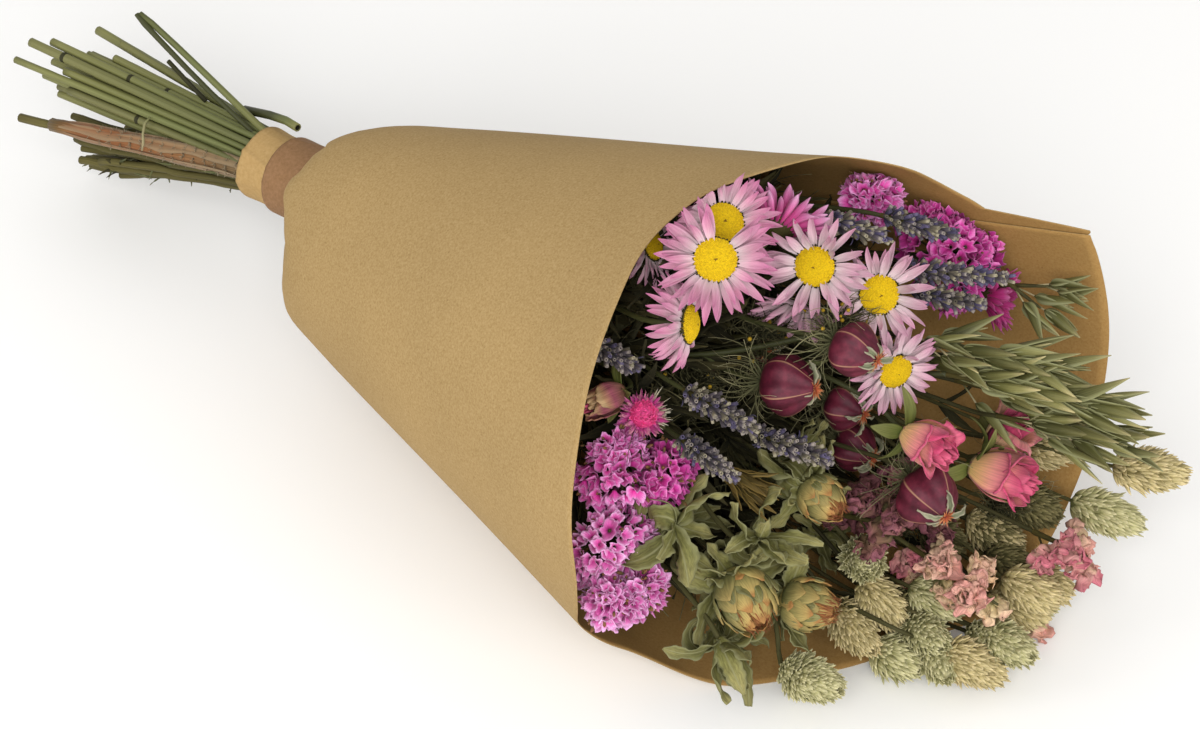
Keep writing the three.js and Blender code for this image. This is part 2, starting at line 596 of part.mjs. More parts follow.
// Nearest points of two segments, as shares of each
function nearest(a, b, c, d) {
  const first = b.clone().sub(a);
  const second = d.clone().sub(c);
  const offset = a.clone().sub(c);
  const aa = first.dot(first);
  const bb = second.dot(second);
  const ab = first.dot(second);
  const af = first.dot(offset);
  const bf = second.dot(offset);
  const spread = aa * bb - ab * ab;
  let s = spread > 1e-9 ? THREE.MathUtils.clamp((ab * bf - af * bb) / spread, 0, 1) : 0;
  let t = (ab * s + bf) / bb;
  if (t < 0 || t > 1) {
    t = THREE.MathUtils.clamp(t, 0, 1);
    s = THREE.MathUtils.clamp((ab * t - af) / aa, 0, 1);
  }
  const gap = offset.addScaledVector(first, s).addScaledVector(second, -t);
  return { s, t, gap };
}

// Whether two segments are plainly too far apart to touch
const farApart = (a, b, c, d) => ['x', 'y'].some((axis) => (
  Math.min(a[axis], b[axis]) - conePitch > Math.max(c[axis], d[axis])
  || Math.min(c[axis], d[axis]) - conePitch > Math.max(a[axis], b[axis])));

// Lays every stem from its cut end through the tie to its head, then pushes stems apart in
// the cone until none touches another stem or another head
function routeStems() {
  const random = numbers(11);
  const spots = packNeck(blooms.map(({ base }) => {
    const reach = coneRadius(base[0]);
    return [base[1] / reach, base[2] / reach];
  }));
  const stems = blooms.map((bloom, index) => {
    const base = bloomBase(bloom);
    const facing = bloomFacing(bloom);
    const spot = spots[index];
    const end = -122 + random() * 26 - (spot[1] > 3 ? 6 : 0);
    const centre = (along) => vec(along, neckCentre[0] + spot[0], neckCentre[1] + spot[1]);
    const points = [fanPoint(spot, end, random)];
    points.push(...neckEnds.map(centre));
    const from = centre(neckEnds[1]);
    const stations = coneStations.filter((along) => along < base.x - bendRoom);
    for (const along of stations) {
      const share = (along - from.x) / (base.x - from.x);
      points.push(vec(along, THREE.MathUtils.lerp(from.y, base.y, share),
        THREE.MathUtils.lerp(from.z, base.z, share)));
    }
    const fixed = 1 + neckEnds.length;
    const stem = { bloom, base, facing, points, fixed, stations: points.length };
    points.push(...finalBend(points.at(-2), points.at(-1), base, facing), base);
    return stem;
  });
  const heads = blooms.map((bloom) => {
    const [width, long] = coreSpace[bloom.kind];
    const reach = long > 2 ? long : long * bloom.size;
    const from = bloomBase(bloom);
    return { node: bloom.node, from, to: from.clone().addScaledVector(bloomFacing(bloom), reach), width };
  });
  const shift = (stem, k, share, move) => {
    for (const [index, part] of [[k, 1 - share], [k + 1, share]]) {
      const movable = Math.min(index, stem.stations - 1);
      if (movable >= stem.fixed) {
        stem.points[movable].y += move.y * part;
        stem.points[movable].z += move.z * part;
      }
    }
  };
  for (let round = 0; round < routeRounds; round += 1) {
    stems.forEach((one, i) => {
      for (let k = 2; k + 1 < one.points.length; k += 1) {
        const [a, b] = [one.points[k], one.points[k + 1]];
        for (let j = 0; j < i; j += 1) {
          const two = stems[j];
          for (let m = 2; m + 1 < two.points.length; m += 1) {
            const [c, d] = [two.points[m], two.points[m + 1]];
            if (farApart(a, b, c, d)) continue;
            const { s, t, gap } = nearest(a, b, c, d);
            const apart = gap.length();
            const need = Math.min(a.x, c.x) <= neckEnds[1] ? neckPitch : conePitch;
            if (apart < need && apart > 1e-6) {
              gap.multiplyScalar(0.4 * (need - apart) / apart);
              shift(one, k, s, gap);
              shift(two, m, t, gap.negate());
            }
          }
        }
        for (const head of heads) {
          if (head.node === one.bloom.node) continue;
          const { s, gap } = nearest(a, b, head.from, head.to);
          const apart = gap.length();
          const need = head.width + headRoom;
          if (apart < need && apart > 1e-6) {
            shift(one, k, s, gap.multiplyScalar(0.5 * (need - apart) / apart));
          }
        }
      }
    });
    for (const stem of stems) {
      const { points, stations } = stem;
      for (let k = stem.fixed; k < stations; k += 1) {
        const point = points[k];
        const next = k + 1 < stations ? points[k + 1] : stem.base;
        const straight = points[k - 1].clone().lerp(next, 0.5);
        if (round < straightenRounds) point.y += (straight.y - point.y) * straighten;
        if (round < straightenRounds) point.z += (straight.z - point.z) * straighten;
        const room = coneRadius(point.x) - paperRoom;
        const far = Math.hypot(point.y, point.z);
        if (far > room) {
          point.y *= room / far;
          point.z *= room / far;
        }
        point.z = Math.max(point.z, tableAt(point.x) + tableRoom);
      }
      const bend = finalBend(points[stations - 2], points[stations - 1], stem.base, stem.facing);
      points.splice(stations, bend.length, ...bend);
    }
  }
  return stems;
}

// A stem's solid. Its rings lie square to the bouquet's axis up to the last station, then
// turn with the bend.
function stemSolid(stem) {
  const { points, stations, facing } = stem;
  const reach = points.concat(stem.base.clone().addScaledVector(facing, 1));
  const rings = reach.map((point, k) => {
    const along = k < stations ? vec(1, 0, 0)
      : reach[Math.min(k + 1, reach.length - 1)].clone().sub(reach[k - 1]).normalize();
    const side = vec(0, 0, 0).crossVectors(vec(0, 0, 1), along);
    if (side.length() < 0.2) side.set(0, 1, 0);
    side.normalize();
    const over = vec(0, 0, 0).crossVectors(along, side);
    const radius = stemRadiusAt(point.x);
    const ring = [];
    for (let i = 0; i < stemSides; i += 1) {
      const turn = 2 * Math.PI * i / stemSides;
      ring.push(point.clone().addScaledVector(side, radius * Math.cos(turn))
        .addScaledVector(over, radius * Math.sin(turn)));
    }
    return ring;
  });
  return loft(rings);
}

// Wrapping -------------------------------------------------------------------------------

// Closed skin between an outer and an inner sheet of the same grid
function sheetSolid(outer, inner, closes) {
  const rows = outer.length;
  const columns = outer[0].length;
  const points = [...outer.flat(), ...inner.flat()];
  const at = (layer, row, column) => layer * rows * columns + row * columns + (column % columns);
  const faces = [];
  const quad = (a, b, c, d) => faces.push([a, b, c], [a, c, d]);
  const spans = closes ? columns : columns - 1;
  for (let column = 0; column < spans; column += 1) {
    for (let row = 0; row + 1 < rows; row += 1) {
      quad(at(0, row, column), at(0, row, column + 1), at(0, row + 1, column + 1), at(0, row + 1, column));
      quad(at(1, row, column), at(1, row + 1, column), at(1, row + 1, column + 1), at(1, row, column + 1));
    }
    quad(at(0, 0, column), at(1, 0, column), at(1, 0, column + 1), at(0, 0, column + 1));
    const end = rows - 1;
    quad(at(0, end, column), at(0, end, column + 1), at(1, end, column + 1), at(1, end, column));
  }
  if (!closes) {
    const edge = columns - 1;
    for (let row = 0; row + 1 < rows; row += 1) {
      quad(at(0, row, 0), at(0, row + 1, 0), at(1, row + 1, 0), at(1, row, 0));
      quad(at(0, row, edge), at(1, row, edge), at(1, row + 1, edge), at(0, row + 1, edge));
    }
  }
  return solidFrom(points, faces);
}

// The kraft sheet: gathered in pleats round the neck, opening at the shoulder into a cone
// that laps over itself, with its underside flattened by the table
function kraftWrap() {
  const angles = [];
  for (let angle = seamAngle; angle <= seamAngle + 360 + seamOverlap; angle += 9.6) angles.push(angle);
  angles.push(360 + 66.5);
  angles.sort((a, b) => a - b);
  const collar = sleeveRadius + 0.4 + clearance + paperThickness;
  const rowShares = [0, 0.28, 0.55, 0.76, 0.9, 1];
  const point = (angle, index, row, inset) => {
    const turn = angle * degrees;
    const lap = THREE.MathUtils.smoothstep(angle, seamAngle + seamOverlap, seamAngle + seamOverlap + 50);
    const depth = inset + (1 - lap) * (paperThickness + layerGap);
    const shoulder = edgeAt(shoulderEdge, angle);
    const mouth = edgeAt(mouthEdge, angle) - (angle < seamAngle + seamOverlap ? 4 : 0);
    const pleat = (index % 2 ? 1 : -1);
    let along;
    let radius;
    let offset = 0;
    if (row === 0 || row === 1) {
      along = row === 0 ? 16 : 20;
      radius = collar + 1.6 + (row === 0 ? 0 : 1.5);
      offset = 1;
    } else if (row === 2) {
      along = 20 + (shoulder - 20) * 0.42 + pleat * 1.6;
      radius = collar + (coneRadius(shoulder) - collar) * 0.58 + pleat;
      offset = 0.5;
    } else {
      along = shoulder + (mouth - shoulder) * rowShares[row - 3];
      radius = coneRadius(along);
    }
    const far = radius - depth;
    const floor = tableAt(along) + inset + (1 - lap) * (paperThickness + layerGap);
    return vec(along, neckCentre[0] * offset + far * Math.sin(turn),
      Math.max(neckCentre[1] * offset + far * Math.cos(turn), floor));
  };
  const grid = (inset) => {
    const rows = [];
    for (let row = 0; row < 3 + rowShares.length; row += 1) {
      rows.push(angles.map((angle, index) => point(angle, index, row, inset)));
    }
    return rows;
  };
  return sheetSolid(grid(0), grid(paperThickness), false);
}

// A crimped tube round the stems
function crimpedTube(start, end, radius, thickness, crimp, columns) {
  const grid = (inset) => [start, end].map((along) => {
    const ring = [];
    for (let i = 0; i < columns; i += 1) {
      const turn = 2 * Math.PI * i / columns;
      const far = radius - inset + (i % 2 ? crimp : 0);
      ring.push(vec(along, neckCentre[0] + far * Math.sin(turn), neckCentre[1] + far * Math.cos(turn)));
    }
    return ring;
  });
  return sheetSolid(grid(0), grid(thickness), true);
}

// Assembly -------------------------------------------------------------------------------

const boxOf = (solid) => {
  const { min, max } = solid.boundingBox();
  return new THREE.Box3(vec(...min), vec(...max)).expandByScalar(clearance);
};

const placed = [];

function place(node, solid) {
  placed.push({ node, solid, box: boxOf(solid) });
}

function standsClear(node, solid) {
  const box = boxOf(solid);
  for (const other of placed) {
    if (other.node === node || !other.box.intersectsBox(box)) continue;
    if (solid.minGap(other.solid, clearance) < clearance) return false;
  }
  return true;
}

// Joins a node's pieces; whatever the join leaves loose or seals inside is left out
function joined(pieces) {
  const parts = wasm.Manifold.union(pieces.map((piece) => piece.setTolerance(weld))).decompose();
  return parts.reduce((best, part) => (part.volume() > best.volume() ? part : best)).simplify(fineness);
}

function meshOf(name, solid, finish) {
  const [color, roughness] = finishes[finish];
  const material = new THREE.MeshStandardMaterial({ color, roughness, metalness: 0 });
  const mesh = new THREE.Mesh(geometryOf(solid), material);
  mesh.name = name;
  return mesh;
}

function buildWrapping() {
  const group = new THREE.Group();
  const pieces = [
    ['kraft_wrap', kraftWrap().simplify(fineness / 4), 'paper'],
    ['neck_sleeve', crimpedTube(sleeveStart, sleeveEnd, sleeveRadius, paperThickness, 0.4, 20), 'sleeve'],
    ['neck_band', crimpedTube(bandStart, bandEnd, sleeveRadius + 1.3, 0.6, 0, 20), 'band'],
  ];
  for (const [name, solid, finish] of pieces) {
    place(name, solid);
    group.add(meshOf(name, solid, finish));
  }
  return group;
}

function buildFlowers() {
  const group = new THREE.Group();
  const nodes = new Map();
  const heads = routeStems().map((stem) => {
    const { bloom } = stem;
    const solid = stemSolid(stem);
    place(bloom.node, solid);
    if (!nodes.has(bloom.node)) nodes.set(bloom.node, { kind: bloom.kind, grown: [] });
    nodes.get(bloom.node).grown.push(solid);
    return stem;
  });
  const frameOf = ({ base, facing }) => new THREE.Matrix4().compose(base,
    new THREE.Quaternion().setFromUnitVectors(vec(0, 0, 1), facing), vec(1, 1, 1)).elements;
  heads.forEach((stem, index) => {
    const { sides, rows } = kinds[stem.bloom.kind](stem.bloom.size, numbers(100 + index));
    const closed = headBody(rows, sides, numbers(100 + index), () => false);
    place(stem.bloom.node, closed.transform(frameOf(stem)));
  });
  heads.forEach((stem, index) => {
    const { bloom } = stem;
    const seat = frameOf(stem);
    const random = numbers(100 + index);
    const grow = (solid) => {
      place(bloom.node, solid);
      nodes.get(bloom.node).grown.push(solid);
    };
    const { sides, rows, pieces = [] } = kinds[bloom.kind](bloom.size, random);
    grow(headBody(rows, sides, random, (probe) => standsClear(bloom.node, probe.transform(seat)))
      .transform(seat));
    for (const choices of pieces) {
      const clear = choices.map((choice) => choice().transform(seat))
        .find((solid) => standsClear(bloom.node, solid));
      if (clear) grow(clear);
    }
  });
  for (const [name, { kind, grown }] of nodes) group.add(meshOf(name, joined(grown), kind));
  return group;
}

const bouquet = new THREE.Group();
bouquet.add(buildWrapping(), buildFlowers());
bouquet.rotation.y = -lean;
bouquet.position.z = axisHeight;
bouquet.updateMatrixWorld(true);

// The frame's origin is the middle of the bouquet's footprint
const footprint = new THREE.Box3().setFromObject(bouquet, true).getCenter(vec(0, 0, 0));
bouquet.position.x -= footprint.x;
bouquet.position.y -= footprint.y;

export default bouquet;
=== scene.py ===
# A dried mixed flower bouquet rolled in kraft paper, lying on its side.
# Shapes are made in millimetres. A head faces +Z with its stem's end at its origin, and is then
# set into the bouquet's own frame: along the axis, across to the far side, and up.
import math
import bpy
import numpy as np
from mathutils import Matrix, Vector


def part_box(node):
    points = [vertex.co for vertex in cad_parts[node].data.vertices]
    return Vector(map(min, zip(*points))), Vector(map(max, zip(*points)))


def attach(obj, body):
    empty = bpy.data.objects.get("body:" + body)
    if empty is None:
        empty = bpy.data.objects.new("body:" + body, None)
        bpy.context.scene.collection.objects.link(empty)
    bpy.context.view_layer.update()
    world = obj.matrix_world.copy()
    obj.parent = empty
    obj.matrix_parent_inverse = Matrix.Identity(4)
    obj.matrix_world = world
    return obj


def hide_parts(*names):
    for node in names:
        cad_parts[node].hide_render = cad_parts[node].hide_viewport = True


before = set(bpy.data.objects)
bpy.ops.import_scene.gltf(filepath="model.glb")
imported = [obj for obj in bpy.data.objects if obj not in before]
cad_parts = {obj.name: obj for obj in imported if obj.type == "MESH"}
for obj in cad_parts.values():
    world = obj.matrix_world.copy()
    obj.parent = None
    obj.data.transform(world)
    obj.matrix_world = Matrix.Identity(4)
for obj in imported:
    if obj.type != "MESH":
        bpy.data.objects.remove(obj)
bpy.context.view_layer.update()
print("stage: frame loaded")

bouquet = {
    "lean": 7,                   # degrees, rise of the axis toward the blooms
    "axisHeight": 58,
    "tieCentre": (5, 6, 5),      # middle of the band in the bouquet's own frame
    "coneAngle": 15.31,          # degrees, half angle of the rolled paper
    "mouthRadius": 102,
    "mouthAt": 260,
}
lean = math.radians(bouquet["lean"])
bouquetAxes = np.array([
    (math.cos(lean), 0, math.sin(lean)),
    (0, 1, 0),
    (-math.sin(lean), 0, math.cos(lean)),
])
bandLow, bandHigh = (np.array(corner) * 1000 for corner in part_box("neck_band"))
bouquetOrigin = (bandLow + bandHigh) / 2 - np.array(bouquet["tieCentre"]) @ bouquetAxes
fullTurn = 2 * math.pi


def toWorld(points):
    return (points @ bouquetAxes + bouquetOrigin) / 1000


def toBouquet(points):
    return (points * 1000 - bouquetOrigin) @ bouquetAxes.T


def coneRadius(along):
    slope = math.tan(math.radians(bouquet["coneAngle"]))
    return bouquet["mouthRadius"] - (bouquet["mouthAt"] - along) * slope


def tableAt(along):
    return -(bouquet["axisHeight"] + along * math.sin(lean)) / math.cos(lean)


def unit(vectors):
    return vectors / np.maximum(np.linalg.norm(vectors, axis=-1, keepdims=True), 1e-9)


def smoothStep(value, low, high):
    share = np.clip((value - low) / (high - low), 0, 1)
    return share * share * (3 - 2 * share)


# Camera: a 108 mm lens on a 36 mm sensor, from the front right and above
cameraLook = {"azimuth": 41.25, "elevation": 43, "distance": 1200, "aim": (163.7, -14.4, 86), "lens": 108}
turn, rise = math.radians(cameraLook["azimuth"]), math.radians(cameraLook["elevation"])
backward = Vector((math.sin(turn) * math.cos(rise), -math.cos(turn) * math.cos(rise), math.sin(rise)))
aim = Vector(cameraLook["aim"]) / 1000 + Vector((bouquetOrigin[0], bouquetOrigin[1], 0)) / 1000
cameraData = bpy.data.cameras.new("camera")
cameraData.lens = cameraLook["lens"]
cameraData.sensor_width = 36
camera = bpy.data.objects.new("camera", cameraData)
camera.location = aim + backward * cameraLook["distance"] / 1000
camera.rotation_euler = backward.to_track_quat("Z", "Y").to_euler()
bpy.context.scene.collection.objects.link(camera)
bpy.context.scene.camera = camera
print("stage: camera set")


def linear(hexText):
    channels = []
    for start in (1, 3, 5):
        value = int(hexText[start:start + 2], 16) / 255
        channels.append(value / 12.92 if value <= 0.04045 else ((value + 0.055) / 1.055) ** 2.4)
    return (*channels, 1)


def addNode(tree, kind, settings=None, links=None):
    node = tree.nodes.new(kind)
    for key, value in (settings or {}).items():
        if key == "stops":
            ramp = node.color_ramp
            while len(ramp.elements) < len(value):
                ramp.elements.new(1)
            for element, (place, hexText) in zip(ramp.elements, value):
                element.position = place
                element.color = linear(hexText)
        elif isinstance(key, int) or key in node.inputs:
            node.inputs[key].default_value = value
        else:
            setattr(node, key, value)
    for key, source in (links or {}).items():
        tree.links.new(source, node.inputs[key])
    return node


def newMaterial(name):
    material = bpy.data.materials.new(name)
    material.use_nodes = True
    material.node_tree.nodes.clear()
    return material, material.node_tree


def finishMaterial(tree, colour, height, look):
    bump = addNode(tree, "ShaderNodeBump", {"Strength": look.get("bump", 0.5),
                   "Distance": look.get("relief", 0.15) / 1000}, {"Height": height})
    shader = addNode(tree, "ShaderNodeBsdfPrincipled", {
        "Roughness": look["roughness"], "IOR": 1.45, "Sheen Weight": look.get("sheen", 0),
        "Sheen Roughness": 0.5, "Specular IOR Level": look.get("gloss", 0.3),
    }, {"Base Color": colour, "Normal": bump.outputs[0]})
    addNode(tree, "ShaderNodeOutputMaterial", {}, {"Surface": shader.outputs[0]})


# A dried petal, leaf or stem: its colour runs from base to tip, fine streaks follow its length,
# and every petal is a little lighter or darker than the next
def driedMaterial(name, stops, look):
    material, tree = newMaterial(name)
    along, side, tone = (addNode(tree, "ShaderNodeAttribute", {"attribute_name": key}).outputs["Fac"]
                         for key in ("along", "side", "tone"))
    drift = addNode(tree, "ShaderNodeMapRange", {"To Min": -look.get("drift", 0.08),
                    "To Max": look.get("drift", 0.08)}, {"Value": tone})
    place = addNode(tree, "ShaderNodeMath", {"operation": "ADD"}, {0: along, 1: drift.outputs[0]})
    ramp = addNode(tree, "ShaderNodeValToRGB", {"stops": stops}, {0: place.outputs[0]})
    length = addNode(tree, "ShaderNodeMath", {"operation": "MULTIPLY", 1: look.get("grain", 1.6)}, {0: along})
    width = addNode(tree, "ShaderNodeMath", {"operation": "MULTIPLY", 1: look.get("streaks", 6)}, {0: side})
    seed = addNode(tree, "ShaderNodeMath", {"operation": "MULTIPLY", 1: 37}, {0: tone})
    spot = addNode(tree, "ShaderNodeCombineXYZ", {},
                   {0: length.outputs[0], 1: width.outputs[0], 2: seed.outputs[0]})
    streak = addNode(tree, "ShaderNodeTexNoise", {"Scale": 1.3, "Detail": 3, "Roughness": 0.6},
                     {"Vector": spot.outputs[0]})
    depth = look.get("streakDepth", 0.25)
    light = addNode(tree, "ShaderNodeMapRange", {"From Min": 0.3, "From Max": 0.7, "To Min": 1 - depth,
                    "To Max": 1 + depth * 0.6}, {"Value": streak.outputs[0]})
    spread = look.get("toneSpread", 0.14)
    shade = addNode(tree, "ShaderNodeMapRange", {"To Min": 1 - spread, "To Max": 1 + spread}, {"Value": tone})
    value = addNode(tree, "ShaderNodeMath", {"operation": "MULTIPLY"},
                    {0: light.outputs[0], 1: shade.outputs[0]})
    colour = addNode(tree, "ShaderNodeHueSaturation", {},
                     {"Color": ramp.outputs[0], "Value": value.outputs[0]})
    result = colour.outputs[0]
    # a pale line down the middle, and another colour along both edges
    for key, fade in (("midrib", (0.8, 0)), ("margin", (0, 0.85))):
        if key in look:
            hexText, reach = look[key]
            start, end = (0, reach) if key == "midrib" else (reach, 1)
            off = addNode(tree, "ShaderNodeMath", {"operation": "ABSOLUTE"}, {0: side})
            near = addNode(tree, "ShaderNodeMapRange", {"From Min": start, "From Max": end,
                           "To Min": fade[0], "To Max": fade[1]}, {"Value": off.outputs[0]})
            mixed = addNode(tree, "ShaderNodeMix", {"data_type": "RGBA", 7: linear(hexText)},
                            {0: near.outputs[0], 6: result})
            result = mixed.outputs[2]
    finishMaterial(tree, result, streak.outputs[0], look)
    return material


# Paper, pressed from wood fibres: mottled, with a few dark flecks. The fibres are drawn about a
# millimetre long, coarser than real ones, so that they show.
def paperMaterial(name, look):
    material, tree = newMaterial(name)
    place = addNode(tree, "ShaderNodeTexCoord").outputs["Object"]
    fibre = addNode(tree, "ShaderNodeTexNoise",
                    {"Scale": 1000 / look["fibre"], "Detail": 4, "Roughness": 0.65},
                    {"Vector": place})
    cloud = addNode(tree, "ShaderNodeTexNoise", {"Scale": 1000 / look["cloud"], "Detail": 2},
                    {"Vector": place})
    fleck = addNode(tree, "ShaderNodeTexNoise", {"Scale": 1000 / look["fleck"], "Detail": 1},
                    {"Vector": place})
    ramp = addNode(tree, "ShaderNodeValToRGB", {"stops": look["stops"]}, {0: fibre.outputs[0]})
    shade = addNode(tree, "ShaderNodeMapRange",
                    {"From Min": 0.3, "From Max": 0.7, "To Min": 0.95, "To Max": 1.05},
                    {"Value": cloud.outputs[0]})
    tinted = addNode(tree, "ShaderNodeHueSaturation", {},
                     {"Color": ramp.outputs[0], "Value": shade.outputs[0]})
    speck = addNode(tree, "ShaderNodeMapRange",
                    {"From Min": 0.7, "From Max": 0.78, "To Min": 0, "To Max": 0.5},
                    {"Value": fleck.outputs[0]})
    mixed = addNode(tree, "ShaderNodeMix", {"data_type": "RGBA", 7: linear(look["fleckColour"])},
                    {0: speck.outputs[0], 6: tinted.outputs[0]})
    finishMaterial(tree, mixed.outputs[2], fibre.outputs[0], look)
    return material


# Satin skin of a dried seed pod: clouded burgundy, with pale raised seams
def podMaterial(name, look):
    material, tree = newMaterial(name)
    place = addNode(tree, "ShaderNodeTexCoord").outputs["Object"]
    side, along = (addNode(tree, "ShaderNodeAttribute", {"attribute_name": key}).outputs["Fac"]
                   for key in ("side", "along"))
    cloud = addNode(tree, "ShaderNodeTexNoise",
                    {"Scale": 1000 / look["cloud"], "Detail": 4, "Roughness": 0.6},
                    {"Vector": place})
    ramp = addNode(tree, "ShaderNodeValToRGB", {"stops": look["stops"]}, {0: cloud.outputs[0]})
    ends = addNode(tree, "ShaderNodeMapRange",
                   {"From Min": 0.0, "From Max": 0.12, "To Min": 0.7, "To Max": 0},
                   {"Value": along})
    based = addNode(tree, "ShaderNodeMix", {"data_type": "RGBA", 7: linear(look["baseColour"])},
                    {0: ends.outputs[0], 6: ramp.outputs[0]})
    seam = addNode(tree, "ShaderNodeMapRange",
                   {"From Min": 0.0, "From Max": look["seam"], "To Min": 0.9, "To Max": 0},
                   {"Value": side})
    mixed = addNode(tree, "ShaderNodeMix", {"data_type": "RGBA", 7: linear(look["seamColour"])},
                    {0: seam.outputs[0], 6: based.outputs[2]})
    finishMaterial(tree, mixed.outputs[2], cloud.outputs[0], look)
    return material


materials = {
    # Kraft paper, machine-made and unbleached: matt tan, faintly mottled. Lengths are in millimetres.
    "kraftPaper": paperMaterial("kraftPaper", {
        "fibre": 0.8, "cloud": 60, "fleck": 0.75, "roughness": 0.85, "gloss": 0.2, "bump": 0.2,
        "relief": 0.05,
        "stops": [(0.3, "#92774a"), (0.5, "#a08558"), (0.7, "#ac9265")], "fleckColour": "#6e532b"}),
    # The same sheet's inner side, unglazed and browner
    "kraftInside": paperMaterial("kraftInside", {
        "fibre": 0.9, "cloud": 40, "fleck": 0.8, "roughness": 0.9, "gloss": 0.15, "bump": 0.2, "relief": 0.06,
        "stops": [(0.3, "#977443"), (0.5, "#a27e4a"), (0.7, "#a98651")], "fleckColour": "#725430"}),
    # Soft tan paper of the sleeve, creased by hand
    "sleevePaper": paperMaterial("sleevePaper", {
        "fibre": 1.1, "cloud": 11, "fleck": 1.2, "roughness": 0.85, "gloss": 0.2, "bump": 0.15,
        "relief": 0.06,
        "stops": [(0.3, "#a38454"), (0.5, "#ab8c5b"), (0.7, "#b29464")], "fleckColour": "#927149"}),
    # Pinkish-brown paper tape, wound round the sleeve
    "bandPaper": paperMaterial("bandPaper", {
        "fibre": 1.2, "cloud": 9, "fleck": 1.4, "roughness": 0.75, "gloss": 0.25, "bump": 0.15,
        "relief": 0.06,
        "stops": [(0.3, "#7e5d3d"), (0.5, "#886645"), (0.7, "#916e4f")], "fleckColour": "#715238"}),
    # Nigella capsules, inflated and satin, with cream seams
    "podSkin": podMaterial("podSkin", {
        "cloud": 4, "stops": [(0.3, "#400f1e"), (0.5, "#541628"), (0.7, "#6a2234")], "baseColour": "#635235",
        "seam": 0.07, "seamColour": "#a87e62", "roughness": 0.55, "gloss": 0.35, "bump": 0.35,
        "relief": 0.35}),
}
